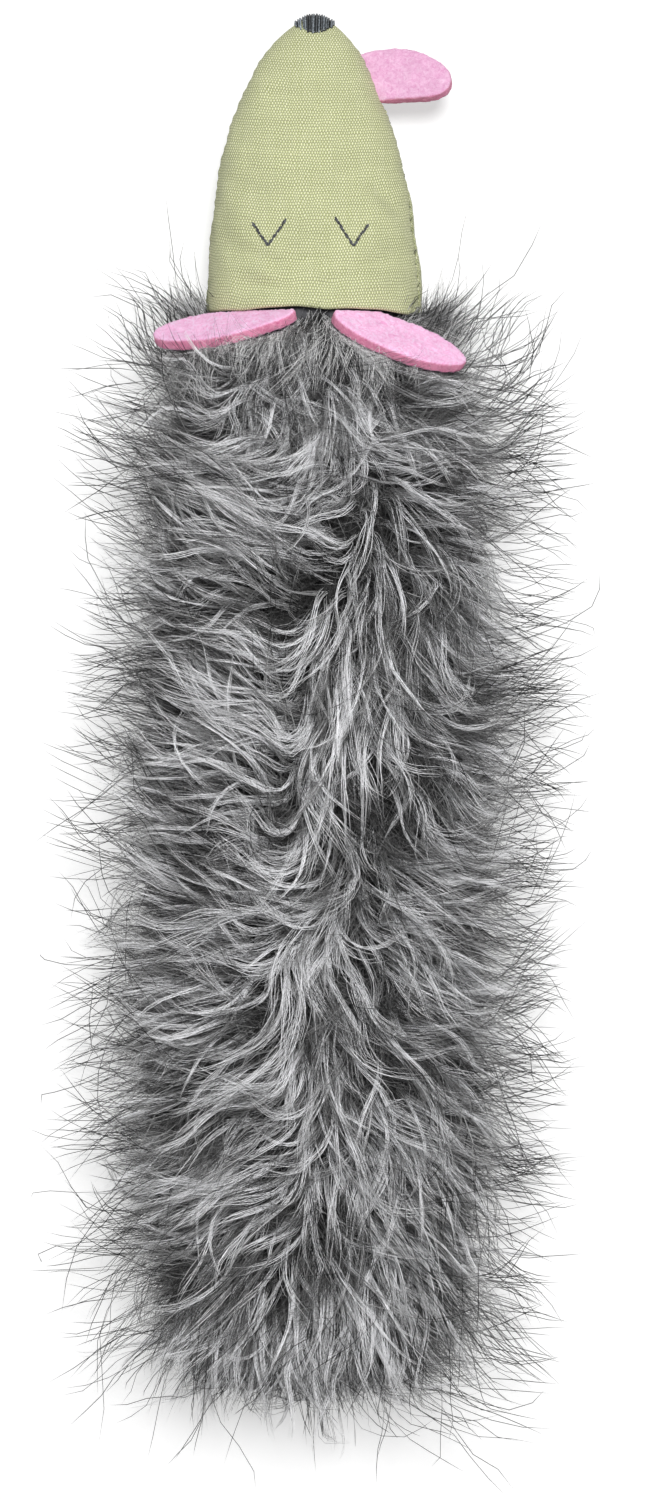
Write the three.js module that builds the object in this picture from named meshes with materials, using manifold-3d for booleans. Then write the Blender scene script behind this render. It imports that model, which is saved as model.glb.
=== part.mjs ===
// Kicker toy for a cat: a stuffed plush body with a stuffed canvas mouse head, two felt ears and a felt tongue.
// Millimetres, +Z up, +Y from the tail to the nose. The origin is on the floor under the middle of the toy.
import * as THREE from "three";
import { mergeVertices } from "three/addons/utils/BufferGeometryUtils.js";
import Module from "manifold-3d";

const wasm = await Module();
wasm.setup();

// Head: a canvas cone, from the nose tip to the hem at the neck
const headLength = 73.5;
const hemHalfWidth = 26.3;
const headRise = 17; // from the side seams up to the top of the hem
const headDrop = 15.5; // from the side seams down to the underside of the hem
const snoutHeightShare = 0.6; // height of the side seams at the nose, as a share of that at the hem
const headCurvePower = 1.7; // how early the cone swells behind the nose
const headFullness = 0.55; // how blunt the snout is
const headTopSquareness = 2.2;
const headUnderSquareness = 2.4;
const canvasThickness = 0.8;

// Plush body: two fur panels round a core of stuffing
const plushLength = 269.1;
const plushHalfWidth = 57;
const plushRise = 31; // from the side seams up to the top of the fur
const plushDrop = 24.5; // from the side seams down to the belly
const bellyFlatDepth = 0.5; // how much of the belly is pressed flat by the floor
const sidePile = 23;
const topPile = 12;
const bellyPile = 4;
const tailPile = 15;
const plushTopSquareness = 2.3;
const plushUnderSquareness = 2.7;

// Neck: the plush is gathered to a round bunch, which is sewn into the open hem of the head
const neckGap = 0.9; // between the hem and the front of the plush
const pivotSetback = 1.4; // the bunch's middle lies this far behind the hem
const gatherRadius = 7;
const coreSetback = 4.5; // the core's front end lies this far behind the front of the plush

// Felt pieces
const feltThickness = 2.8;
const leftEarLength = 35.4;
const rightEarLength = 33.8;
const earWidth = 12.6;
const earRootInner = 4.2; // from the head's middle plane to the near end of an ear
const earRootOuterShare = 0.9; // of the hem's half width: where an ear's root leaves the hem
const earRootLift = 0.6; // how far the oval's inner end stands out of the seam
const leftEarTilt = 52; // degrees that the ear stands up from lying back on the fur
const rightEarTilt = 40;
const leftEarSplay = 13; // degrees that the oval turns away from the hem in its own plane
const rightEarSplay = 26.5;
const tongueLength = 16.8;
const tongueRootLength = 11.4; // measured along the head
const tongueSetback = 16.6; // from the nose tip of the canvas to the middle of the tongue's root
const tongueTwist = 18; // degrees that the tongue's rear edge is lifted
const tongueRootThickness = 0.8; // of the felt where the seam pinches it

// Thread and embroidery
const seamThreadRadius = 0.4;
const headThreadRadius = 0.3;
const stitchHeight = 0.6; // of embroidery over the canvas
const noseCover = 1.0; // of the nose's satin stitches, measured over the canvas
const noseHalfWidth = 4.7;
const noseDepth = 3; // from the canvas tip back to the middle of the nose's rear edge
const noseCornerShare = 0.7; // of that depth, at the nose's two rear corners
const eyeStitchWidth = 0.9;
const eyeSpacing = 20.4; // between the points of the two V-shaped eyes
const faceShift = -0.9; // of the point midway between the eyes, from the head's middle plane
const eyeSetback = 58.2; // from the nose tip back to the points of the eyes
const eyeInnerReach = 4.3;
const eyeOuterReach = 3.8;
const eyeInnerRise = 6.2;
const eyeOuterRise = 5.2;
const tailStitchTurns = 9;
const tailStitchHalfLength = 13;
const tailStitchRadius = 1.6;

// Catnip pouch, in a pocket on the underside of the core
const pouchHalfWidth = 18;
const pouchHalfLength = 25;
const pouchHalfHeight = 4.8;
const pouchCloth = 0.5;
const pouchSetback = 118; // from the front of the plush back to the pouch's middle
const pouchCornerPower = 5;
const pouchCrownPower = 2.5;
const pouchEdgeSquareness = 1.6;

// Clearances
const clearance = 0.3;
const floorGap = 0.2;
const overrun = 2; // how far a cutting shape runs past what it cuts

// Mesh fineness
const headSections = 14;
const firstSeamSection = 3; // where the side threads start, counted from the nose
const ringSides = 32;
const ballSides = 16;
const threadSides = 6;
const ovalSteps = 28;
const pouchSteps = 10;
const pouchSides = 20;
const stitchSteps = 6; // in one turn of the tail's stitches
const seamSteps = 2; // of a seam's thread between two sections

const slopeStepShare = 0.001; // how far back a slope is measured, as a share of the way from the nose

// The plush outline from its front to the tail. Each row: place along the length, half width, rise, drop
// towards the floor and height of the side seams between that of the hem and that of the body, all as shares.
const plushOutlineShares = [
  [0.004, 0.17, 0.15, 0.3, 0],
  [0.012, 0.3, 0.22, 0.5, 0],
  [0.025, 0.42, 0.24, 0.7, 0],
  [0.045, 0.56, 0.24, 0.88, 0],
  [0.07, 0.67, 0.29, 0.97, 0],
  [0.105, 0.84, 0.6, 1, 0.2],
  [0.15, 0.95, 0.87, 1, 0.55],
  [0.2, 0.985, 0.95, 1, 0.9],
  [0.27, 1, 1, 1, 1],
  [0.42, 0.985, 0.98, 1, 1],
  [0.58, 1, 1, 1, 1],
  [0.74, 0.975, 0.97, 1, 1],
  [0.84, 0.945, 0.9, 0.99, 1],
  [0.905, 0.86, 0.77, 0.95, 1],
  [0.95, 0.72, 0.6, 0.84, 1],
  [0.98, 0.52, 0.4, 0.62, 1],
  [0.995, 0.27, 0.2, 0.34, 1],
];
// The core of stuffing, in the same columns, as shares of its own length and of the plush less its pile
const coreOutlineShares = [
  [0, 0.25, 0.35, 0.6, 0],
  [0.02, 0.38, 0.42, 0.75, 0],
  [0.05, 0.55, 0.5, 0.9, 0.02],
  [0.09, 0.72, 0.62, 0.97, 0.14],
  [0.14, 0.86, 0.8, 1, 0.55],
  [0.2, 0.95, 0.93, 1, 0.9],
  [0.3, 1, 1, 1, 1],
  [0.5, 0.98, 0.98, 1, 1],
  [0.7, 1, 1, 1, 1],
  [0.84, 0.96, 0.95, 0.99, 1],
  [0.92, 0.86, 0.86, 0.94, 1],
  [0.97, 0.68, 0.7, 0.8, 1],
  [0.995, 0.42, 0.44, 0.52, 1],
];
const seamSpanShares = [0.06, 0.94]; // the part of the core's length that the side seams run along
// A V-shaped eye reaches this share of its height further down where its two arms overlap
const eyeFootShare = 0.12;
// The tongue's outline from the front of its root round to the rear, as shares of its length and of half its root
const tongueOutlineShares = {
  frontBend: [0.15, -1.5],
  crownBend: [0.74, -1.95],
  tip: [1, -0.4],
  tipBend: [1.04, 0.4],
  cornerBend: [0.83, 1],
  corner: [0.55, 1],
};

const axisX = new THREE.Vector3(1, 0, 0);
const axisY = new THREE.Vector3(0, 1, 0);
const axisZ = new THREE.Vector3(0, 0, 1);

// Places that follow from the sizes above
const totalLength = noseCover + headLength + neckGap + plushLength;
const tipY = totalLength / 2 - noseCover;
const hemY = tipY - headLength;
const plushFrontY = hemY - neckGap;
const coreFrontY = plushFrontY - coreSetback;
const coreLength = plushLength - coreSetback - tailPile;
const pivotY = hemY - pivotSetback;
const bodySeamHeight = plushDrop - bellyFlatDepth;
const headHeights = headSeatHeights();
const hemSeamHeight = headHeights.hem;
const coreHalfWidth = plushHalfWidth - sidePile;
const coreRise = plushRise - topPile;
const coreLow = bellyPile - bellyFlatDepth;

// Swell of the head at a share of its length behind the nose: 0 at the tip, 1 at the hem
function headSwell(share) {
  return Math.pow(1 - Math.pow(1 - share, headCurvePower), headFullness);
}

// Heights of the side seams at the hem and the nose, so that the head's underside just clears the floor
function headSeatHeights() {
  let hem = 0;
  for (let i = 1; i <= ringSides; i++) {
    const share = i / ringSides;
    const seamShare = snoutHeightShare + (1 - snoutHeightShare) * share;
    hem = Math.max(hem, (headDrop * headSwell(share) + floorGap) / seamShare);
  }
  return { hem, nose: hem * snoutHeightShare };
}

function headSeamHeight(share) {
  return headHeights.nose + (hemSeamHeight - headHeights.nose) * share;
}

// A closed curve like an ellipse, whose upper and lower halves may differ in height and squareness
function ovalRing(section, upperPower, lowerPower, sides = ringSides) {
  const ring = [];
  for (let i = 0; i < sides; i++) {
    const angle = (i / sides) * Math.PI * 2;
    const c = Math.cos(angle);
    const s = Math.sin(angle);
    const power = 2 / (s >= 0 ? upperPower : lowerPower);
    const height = s >= 0 ? section.rise : section.drop;
    const x = section.width * Math.sign(c) * Math.pow(Math.abs(c), power);
    const z = section.seam + height * Math.sign(s) * Math.pow(Math.abs(s), power);
    ring.push([x, section.y, z]);
  }
  return ring;
}

// A closed skin over rings of points that run towards +Y, with a point at each end
function skinOver(rings, firstPole, lastPole) {
  const sides = rings[0].length;
  const points = [firstPole, ...rings.flat(), lastPole];
  const at = (ring, side) => 1 + ring * sides + (side % sides);
  const last = points.length - 1;
  const faces = [];
  for (let side = 0; side < sides; side++) {
    faces.push(0, at(0, side), at(0, side + 1));
    for (let ring = 0; ring + 1 < rings.length; ring++) {
      const [a, b] = [at(ring, side), at(ring, side + 1)];
      const [c, d] = [at(ring + 1, side), at(ring + 1, side + 1)];
      faces.push(a, c, b, b, c, d);
    }
    faces.push(last, at(rings.length - 1, side + 1), at(rings.length - 1, side));
  }
  const geometry = new THREE.BufferGeometry();
  geometry.setAttribute("position", new THREE.Float32BufferAttribute(points.flat(), 3));
  geometry.setIndex(faces);
  return geometry;
}

function solidFrom(geometry) {
  const bare = geometry.clone();
  bare.deleteAttribute("normal");
  bare.deleteAttribute("uv");
  const merged = mergeVertices(bare);
  const vertProperties = new Float32Array(merged.attributes.position.array);
  const triVerts = new Uint32Array(merged.index.array);
  return new wasm.Manifold(new wasm.Mesh({ numProp: 3, vertProperties, triVerts }));
}

function geometryFrom(solid) {
  const mesh = solid.getMesh();
  const geometry = new THREE.BufferGeometry();
  geometry.setAttribute("position", new THREE.Float32BufferAttribute(mesh.vertProperties, 3));
  geometry.setIndex(Array.from(mesh.triVerts));
  geometry.computeVertexNormals();
  return geometry;
}

// The head's cone as a solid, grown outwards by a distance, or shrunk if it is negative
function headSolid(grow, pastHem = 0) {
  const rings = [];
  for (let i = 1; i <= headSections; i++) {
    const share = Math.pow(i / headSections, 2);
    const swell = headSwell(share);
    const before = share * (1 - slopeStepShare);
    const slope = (hemHalfWidth * (swell - headSwell(before))) / (headLength * (share - before));
    const outward = grow / Math.hypot(1, slope);
    const width = hemHalfWidth * swell + outward;
    const rise = headRise * swell + outward;
    const drop = headDrop * swell + outward;
    if (Math.min(width, rise, drop) < canvasThickness) continue;
    const y = tipY - headLength * share + (i < headSections ? outward * slope : 0);
    rings.push({ y, width, rise, drop, seam: headSeamHeight(share) });
  }
  if (pastHem) rings.push({ ...rings.at(-1), y: hemY - pastHem });
  const ordered = rings.reverse();
  const back = ordered[0];
  const front = ordered.at(-1);
  return solidFrom(
    skinOver(
      ordered.map((section) => ovalRing(section, headTopSquareness, headUnderSquareness)),
      [0, back.y, back.seam],
      [0, tipY + grow, headHeights.nose],
    ),
  );
}

// Rows of a table of shares as sections that run towards +Y. The lowest part of each is one height.
function sectionsFrom(shares, frontY, length, half, rise, low) {
  return shares
    .map(([along, width, up, down, climb]) => {
      const seam = hemSeamHeight + (bodySeamHeight - hemSeamHeight) * climb;
      return { y: frontY - along * length, width: width * half, rise: up * rise, drop: down * (seam - low), seam };
    })
    .reverse();
}

const plushSections = sectionsFrom(
  plushOutlineShares, plushFrontY, plushLength, plushHalfWidth, plushRise, -bellyFlatDepth,
);

// The core's sections, shrunk by a distance all round
function coreSections(shrink) {
  return sectionsFrom(
    coreOutlineShares, coreFrontY - shrink, coreLength - 2 * shrink,
    coreHalfWidth - shrink, coreRise - shrink, coreLow + shrink,
  );
}

// The whole plush, pressed flat where it lies on the floor
function plushSolid() {
  const rings = plushSections.map((s) => ovalRing(s, plushTopSquareness, plushUnderSquareness));
  const tail = [0, plushFrontY - plushLength, bodySeamHeight];
  const front = [0, plushFrontY, hemSeamHeight];
  return solidFrom(skinOver(rings, tail, front)).intersect(slabAbove(0));
}

function coreSolid(shrink) {
  const sections = coreSections(shrink);
  const rings = sections.map((s) => ovalRing(s, plushTopSquareness, plushUnderSquareness));
  const tail = [0, coreFrontY - coreLength + shrink, bodySeamHeight];
  const front = [0, sections.at(-1).y, sections.at(-1).seam];
  return solidFrom(skinOver(rings, tail, front));
}

function boxSolid(lowX, lowY, lowZ, highX, highY, highZ) {
  const box = new THREE.BoxGeometry(highX - lowX, highY - lowY, highZ - lowZ);
  box.translate((lowX + highX) / 2, (lowY + highY) / 2, (lowZ + highZ) / 2);
  return solidFrom(box);
}

// Everything above a height
function slabAbove(height) {
  const reach = totalLength;
  return boxSolid(-reach, -reach, height, reach, reach, height + reach);
}

// Everything above a line of [y, z] points, raised by a distance, that runs along the middle of the toy
function aboveLine(line, raise) {
  const shape = new THREE.Shape();
  const [firstY, firstZ] = line[0];
  const [lastY, lastZ] = line.at(-1);
  const high = totalLength;
  shape.moveTo(firstY - overrun, firstZ + raise);
  line.forEach(([y, z]) => shape.lineTo(y, z + raise));
  shape.lineTo(lastY + overrun, lastZ + raise);
  shape.lineTo(lastY + overrun, high);
  shape.lineTo(firstY - overrun, high);
  const wide = totalLength;
  const slab = new THREE.ExtrudeGeometry(shape, { depth: wide, bevelEnabled: false });
  slab.translate(0, 0, -wide / 2);
  slab.applyMatrix4(new THREE.Matrix4().makeBasis(axisY, axisZ, axisX));
  return solidFrom(slab);
}

function tubeSolid(points, radius, closed = false, stepsEach = 1) {
  const steps = stepsEach * (points.length - (closed ? 0 : 1));
  const circle = new THREE.Shape();
  circle.absarc(0, 0, radius, 0, Math.PI * 2, false);
  const path = new THREE.CatmullRomCurve3(points, closed);
  return solidFrom(
    new THREE.ExtrudeGeometry(circle, { steps, curveSegments: threadSides / 2, extrudePath: path }),
  );
}

function ballSolid(radius) {
  const ball = new THREE.SphereGeometry(radius, ballSides, ballSides / 2);
  ball.translate(0, pivotY, hemSeamHeight);
  return solidFrom(ball);
}

// Head: two canvas panels joined along the sides, round the stuffing
const headSeamLine = [
  [hemY - overrun, headSeamHeight(1 + overrun / headLength)],
  [tipY + overrun, headSeamHeight(-overrun / headLength)],
];
const headShell = headSolid(0).subtract(headSolid(-canvasThickness, overrun));
const headTopPanel = headShell.intersect(aboveLine(headSeamLine, clearance / 2));
const headUnderPanel = headShell.subtract(aboveLine(headSeamLine, -clearance / 2));

// The stuffing lies just inside the canvas, and the threads lie in grooves along its surface
const stuffingInset = canvasThickness + clearance;
const headGrooveRadius = 2 * headThreadRadius + clearance;

function headSeamThread(side, inset, radius, lastSection) {
  const points = [];
  for (let i = firstSeamSection; i <= lastSection; i++) {
    const share = Math.pow(i / headSections, 2);
    const x = side * (hemHalfWidth * headSwell(share) - inset);
    points.push(new THREE.Vector3(x, tipY - headLength * share - inset, headSeamHeight(share)));
  }
  return tubeSolid(points, radius, false, seamSteps);
}

// A ring of thread round the open end of the head
function hemThread(inset, setForward, radius) {
  const section = {
    y: hemY + setForward,
    width: hemHalfWidth - inset,
    rise: headRise - inset,
    drop: headDrop - inset,
    seam: hemSeamHeight,
  };
  const ring = ovalRing(section, headTopSquareness, headUnderSquareness);
  return tubeSolid(ring.map((point) => new THREE.Vector3(...point)), radius, true);
}

const headStuffing = headSolid(-stuffingInset)
  .subtract(ballSolid(gatherRadius + clearance))
  .subtract(headSeamThread(-1, stuffingInset, headGrooveRadius, headSections))
  .subtract(headSeamThread(1, stuffingInset, headGrooveRadius, headSections))
  .subtract(hemThread(stuffingInset, 0, headGrooveRadius));

// Embroidery lies just over the canvas
const stitchLayer = (low, high) => headSolid(high).subtract(headSolid(low));

// Whatever lies above or below a plan outline
function prismSolid(shape, low, high) {
  const prism = new THREE.ExtrudeGeometry(shape, { depth: high - low, bevelEnabled: false });
  prism.translate(0, 0, low);
  return solidFrom(prism);
}

function noseSolid() {
  const plan = new THREE.Shape();
  const corner = tipY - noseDepth * noseCornerShare;
  const front = tipY + noseCover + overrun;
  plan.moveTo(-noseHalfWidth, front);
  plan.lineTo(-noseHalfWidth, corner);
  plan.quadraticCurveTo(0, 2 * (tipY - noseDepth) - corner, noseHalfWidth, corner);
  plan.lineTo(noseHalfWidth, front);
  return stitchLayer(clearance, noseCover).intersect(prismSolid(plan, 0, headRise));
}

function eyeSolid(side) {
  const point = [faceShift + side * (eyeSpacing / 2), tipY - eyeSetback];
  const half = eyeStitchWidth / 2;
  const foot = eyeInnerRise * eyeFootShare;
  const inner = [point[0] - side * eyeInnerReach, point[1] + eyeInnerRise];
  const outer = [point[0] + side * eyeOuterReach, point[1] + eyeOuterRise];
  const shape = new THREE.Shape();
  shape.moveTo(inner[0] - side * half, inner[1]);
  shape.lineTo(point[0], point[1] - foot);
  shape.lineTo(outer[0] + side * half, outer[1]);
  shape.lineTo(outer[0] - side * half, outer[1]);
  shape.lineTo(point[0], point[1] + foot);
  shape.lineTo(inner[0] + side * half, inner[1]);
  const top = hemSeamHeight + 2 * headRise;
  return stitchLayer(clearance, clearance + stitchHeight).intersect(prismSolid(shape, hemSeamHeight, top));
}

// Height of the hem's top at a distance from the head's middle plane
function hemTop(x) {
  const share = Math.min(Math.abs(x) / hemHalfWidth, 1);
  const height = Math.pow(1 - Math.pow(share, headTopSquareness), 1 / headTopSquareness);
  return hemSeamHeight + headRise * height;
}

// Felt cut to an outline and sewn along the line v = 0, which runs along the middle of its thickness
function feltSolid(shape) {
  const felt = new THREE.ExtrudeGeometry(shape, {
    depth: feltThickness,
    bevelEnabled: false,
    curveSegments: ovalSteps / 2,
  });
  felt.translate(0, 0, -feltThickness / 2);
  return solidFrom(felt);
}

// An oval that is turned by the splay, with what lies inside the seam left out
function earShape(length, splay) {
  const turn = THREE.MathUtils.degToRad(splay);
  const [half, narrow] = [length / 2, earWidth / 2];
  const middle = [half * Math.cos(turn), half * Math.sin(turn) + earRootLift];
  const place = (angle) => [
    middle[0] + half * Math.cos(angle) * Math.cos(turn) - narrow * Math.sin(angle) * Math.sin(turn),
    middle[1] + half * Math.cos(angle) * Math.sin(turn) + narrow * Math.sin(angle) * Math.cos(turn),
  ];
  // v(angle) = middle + swing cos(angle - phase), which is 0 at two angles
  const swing = Math.hypot(half * Math.sin(turn), narrow * Math.cos(turn));
  const phase = Math.atan2(narrow * Math.cos(turn), half * Math.sin(turn));
  const open = Math.acos(Math.max(-middle[1] / swing, -1));
  const shape = new THREE.Shape();
  for (let i = 0; i <= ovalSteps; i++) {
    const [u, v] = place(phase - open + (i / ovalSteps) * 2 * open);
    if (i === 0) shape.moveTo(u, v);
    else shape.lineTo(u, v);
  }
  return shape;
}

// An ear's own frame: u along its root away from the middle, v out of the seam, w through the felt
function placeEar(mesh, side, tilt) {
  const outerX = hemHalfWidth * earRootOuterShare;
  const hingeY = hemY - feltThickness / 2 - clearance;
  const low = feltThickness / 4;
  const inner = new THREE.Vector3(side * earRootInner, hingeY, hemTop(earRootInner) - low);
  const outer = new THREE.Vector3(side * outerX, hingeY, hemTop(outerX) - low);
  const u = outer.clone().sub(inner).normalize();
  const back = axisY.clone().negate();
  const up = new THREE.Vector3().crossVectors(back, u).multiplyScalar(side).normalize();
  const turn = THREE.MathUtils.degToRad(tilt);
  const v = back.multiplyScalar(Math.cos(turn)).addScaledVector(up, Math.sin(turn));
  const w = new THREE.Vector3().crossVectors(u, v);
  mesh.position.copy(inner);
  mesh.quaternion.setFromRotationMatrix(new THREE.Matrix4().makeBasis(u, v, w));
}

// The tongue's root follows the head's right side seam. Its own frame: u back along the root, v outwards.
const tongueFrontShare = (tongueSetback - tongueRootLength / 2) / headLength;
const tongueBackShare = (tongueSetback + tongueRootLength / 2) / headLength;

function tongueFrame() {
  const at = (share) =>
    new THREE.Vector3(hemHalfWidth * headSwell(share), tipY - headLength * share, headSeamHeight(share));
  const front = at(tongueFrontShare);
  const back = at(tongueBackShare);
  const root = back.clone().sub(front);
  const u = root.clone().normalize();
  const flatOut = new THREE.Vector3().crossVectors(axisZ, u).normalize();
  const middle = front.clone().add(back).multiplyScalar(0.5);
  const seamX = hemHalfWidth * headSwell(tongueSetback / headLength);
  const bulge = (seamX - middle.x) * flatOut.x; // the curved seam stands this far out past a straight root
  middle.addScaledVector(flatOut, bulge + clearance);
  return { u, flatOut, middle, rootLength: root.length() };
}

// The root slants and the tongue points straight out sideways, so its outline leans back along the root
function tongueShape(frame) {
  const half = frame.rootLength / 2;
  const lean = frame.flatOut.y / frame.flatOut.x;
  const at = ([out, along]) => [half * along + lean * tongueLength * out, tongueLength * out];
  const { frontBend, crownBend, tip, tipBend, cornerBend, corner } = tongueOutlineShares;
  const shape = new THREE.Shape();
  shape.moveTo(-half, 0);
  shape.bezierCurveTo(...at(frontBend), ...at(crownBend), ...at(tip));
  shape.bezierCurveTo(...at(tipBend), ...at(cornerBend), ...at(corner));
  shape.lineTo(half, 0);
  return shape;
}

// The seam pinches the root of the tongue, which leaves it free to flap
function tongueSolid(frame) {
  const half = feltThickness / 2;
  const long = 2 * frame.rootLength + 2 * tongueLength;
  const profile = new THREE.Shape();
  profile.moveTo(0, -tongueRootThickness / 2);
  profile.lineTo(half, -half);
  profile.lineTo(half, -half - overrun);
  profile.lineTo(tongueLength + overrun, -half - overrun);
  profile.lineTo(tongueLength + overrun, half + overrun);
  profile.lineTo(half, half + overrun);
  profile.lineTo(half, half);
  profile.lineTo(0, tongueRootThickness / 2);
  const pinch = new THREE.ExtrudeGeometry(profile, { depth: long, bevelEnabled: false });
  pinch.translate(0, 0, -long / 2);
  pinch.applyMatrix4(new THREE.Matrix4().makeBasis(axisY, axisZ, axisX));
  return feltSolid(tongueShape(frame)).intersect(solidFrom(pinch));
}

function placeTongue(mesh, frame) {
  const turn = THREE.MathUtils.degToRad(tongueTwist);
  const up = new THREE.Vector3().crossVectors(frame.u, frame.flatOut);
  const u = frame.u.clone().multiplyScalar(Math.cos(turn)).addScaledVector(up, Math.sin(turn));
  const w = new THREE.Vector3().crossVectors(u, frame.flatOut);
  mesh.position.copy(frame.middle);
  mesh.quaternion.setFromRotationMatrix(new THREE.Matrix4().makeBasis(u, frame.flatOut, w));
}

// Plush: an upper and a lower fur panel, round the core
const plushSeamLine = plushSections.map((section) => [section.y, section.seam]);
plushSeamLine.unshift([plushFrontY - plushLength - overrun, bodySeamHeight]);
plushSeamLine.push([plushFrontY + overrun, hemSeamHeight]);

// A thread along a side of the core, at a distance outside it
function sideSeamThread(side, outset, radius) {
  const [from, to] = seamSpanShares;
  const spanFront = coreFrontY - from * coreLength;
  const spanBack = coreFrontY - to * coreLength;
  const points = coreSections(0)
    .filter((section) => section.y <= spanFront && section.y >= spanBack)
    .map((section) => new THREE.Vector3(side * (section.width + outset), section.y, section.seam));
  return tubeSolid(points, radius, false, seamSteps);
}

// The tail is closed by whip stitches that coil round the seam
function tailStitchPoints() {
  const points = [];
  const steps = tailStitchTurns * stitchSteps;
  const y = coreFrontY - coreLength - clearance - tailStitchRadius - seamThreadRadius - clearance;
  for (let i = 0; i <= steps; i++) {
    const share = i / steps;
    const angle = (i / stitchSteps) * Math.PI * 2;
    points.push(
      new THREE.Vector3(
        tailStitchHalfLength * (2 * share - 1),
        y + tailStitchRadius * Math.cos(angle),
        bodySeamHeight + tailStitchRadius * Math.sin(angle),
      ),
    );
  }
  return points;
}

function tailStitchRoom() {
  const points = tailStitchPoints();
  const y = points[0].y - tailStitchRadius;
  const reach = tailStitchHalfLength + seamThreadRadius + clearance;
  const ends = [-reach, reach].map((x) => new THREE.Vector3(x, y, bodySeamHeight));
  return tubeSolid(ends, tailStitchRadius + seamThreadRadius + 2 * clearance);
}

const sideGrooveRadius = 3 * seamThreadRadius + clearance;
const plushShell = plushSolid()
  .subtract(coreSolid(-clearance))
  .subtract(ballSolid(gatherRadius + clearance))
  .subtract(sideSeamThread(-1, clearance, sideGrooveRadius))
  .subtract(sideSeamThread(1, clearance, sideGrooveRadius))
  .subtract(tailStitchRoom());
const plushTopPanel = plushShell.intersect(aboveLine(plushSeamLine, clearance / 2));
const plushBellyPanel = plushShell.subtract(aboveLine(plushSeamLine, -clearance / 2));

// Catnip pouch: a small pillow of two cloths round dried herb
const pouchY = plushFrontY - pouchSetback;
const pouchHeight = coreLow + clearance + pouchHalfHeight;

function pouchSections(grow) {
  const sections = [];
  for (let i = 1; i < pouchSteps; i++) {
    const place = -Math.cos((i / pouchSteps) * Math.PI);
    const corner = Math.pow(1 - Math.pow(Math.abs(place), pouchCornerPower), 1 / pouchCornerPower);
    const crown = Math.pow(1 - Math.pow(Math.abs(place), pouchCrownPower), 1 / pouchCrownPower);
    sections.push({
      y: pouchY + place * (pouchHalfLength + grow),
      width: (pouchHalfWidth + grow) * corner,
      rise: (pouchHalfHeight + grow) * crown,
      drop: (pouchHalfHeight + grow) * crown,
      seam: pouchHeight,
    });
  }
  return sections;
}

function pouchSolid(grow) {
  const power = pouchEdgeSquareness;
  const rings = pouchSections(grow).map((section) => ovalRing(section, power, power, pouchSides));
  const back = [0, pouchY - pouchHalfLength - grow, pouchHeight];
  const front = [0, pouchY + pouchHalfLength + grow, pouchHeight];
  return solidFrom(skinOver(rings, back, front));
}

// The pocket takes the pouch from below, so it goes straight down from the pouch's outline
function pocketSolid() {
  const sections = pouchSections(clearance);
  const plan = new THREE.Shape();
  plan.moveTo(0, pouchY - pouchHalfLength - clearance);
  sections.forEach((section) => plan.lineTo(section.width, section.y));
  plan.lineTo(0, pouchY + pouchHalfLength + clearance);
  [...sections].reverse().forEach((section) => plan.lineTo(-section.width, section.y));
  return pouchSolid(clearance).add(prismSolid(plan, 0, pouchHeight));
}

const pouchLine = [
  [pouchY - pouchHalfLength - overrun, pouchHeight],
  [pouchY + pouchHalfLength + overrun, pouchHeight],
];
const pouchShell = pouchSolid(0).subtract(pouchSolid(-pouchCloth));
const pouchUpperCloth = pouchShell.intersect(aboveLine(pouchLine, clearance / 2));
const pouchLowerCloth = pouchShell.subtract(aboveLine(pouchLine, -clearance / 2));
const bodyStuffing = coreSolid(0)
  .subtract(ballSolid(gatherRadius + clearance))
  .subtract(pocketSolid());

// Materials
const cloth = (color, roughness) => new THREE.MeshStandardMaterial({ color, roughness, metalness: 0 });
const greenCanvas = cloth(0xb9bf86, 0.85);
const pinkFelt = cloth(0xf0a8d0, 0.95);
const greyFur = cloth(0x6e6e70, 0.9);
const greyBacking = cloth(0x4a4a4c, 0.9);
const whiteFibre = cloth(0xe8e6e0, 1);
const darkThread = cloth(0x2b2f33, 0.6);
const greyThread = cloth(0x5a5a5c, 0.7);
const greenThread = cloth(0xa9b077, 0.7);
const mutedCotton = cloth(0xd8d2c0, 0.95);
const driedHerb = cloth(0x6f7a45, 1);

const toy = new THREE.Group();

function addSolid(name, solid, material) {
  const mesh = new THREE.Mesh(geometryFrom(solid), material);
  mesh.name = name;
  toy.add(mesh);
  return mesh;
}

addSolid("plush_top_panel", plushTopPanel, greyFur);
addSolid("plush_belly_panel", plushBellyPanel, greyFur);
addSolid("body_stuffing", bodyStuffing, whiteFibre);
const sideThreadPlace = [clearance + 2 * seamThreadRadius, seamThreadRadius];
addSolid("left_side_seam_thread", sideSeamThread(-1, ...sideThreadPlace), greyThread);
addSolid("right_side_seam_thread", sideSeamThread(1, ...sideThreadPlace), greyThread);
addSolid("tail_closing_stitch", tubeSolid(tailStitchPoints(), seamThreadRadius), greyThread);
addSolid("pouch_upper_cloth", pouchUpperCloth, mutedCotton);
addSolid("pouch_lower_cloth", pouchLowerCloth, mutedCotton);
addSolid("catnip_filling", pouchSolid(-pouchCloth - clearance), driedHerb);
addSolid("neck_gather", ballSolid(gatherRadius), greyBacking);
addSolid("head_top_panel", headTopPanel, greenCanvas);
addSolid("head_under_panel", headUnderPanel, greenCanvas);
addSolid("head_stuffing", headStuffing, whiteFibre);
const headThreadPlace = [stuffingInset + headThreadRadius, headThreadRadius, headSections - 1];
addSolid("left_head_seam_thread", headSeamThread(-1, ...headThreadPlace), greenThread);
addSolid("right_head_seam_thread", headSeamThread(1, ...headThreadPlace), greenThread);
const hemThreadInset = stuffingInset + headThreadRadius;
addSolid("hem_thread", hemThread(hemThreadInset, headThreadRadius, headThreadRadius), greenThread);
addSolid("nose_embroidery", noseSolid(), darkThread);
addSolid("left_eye_embroidery", eyeSolid(-1), darkThread);
addSolid("right_eye_embroidery", eyeSolid(1), darkThread);
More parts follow.
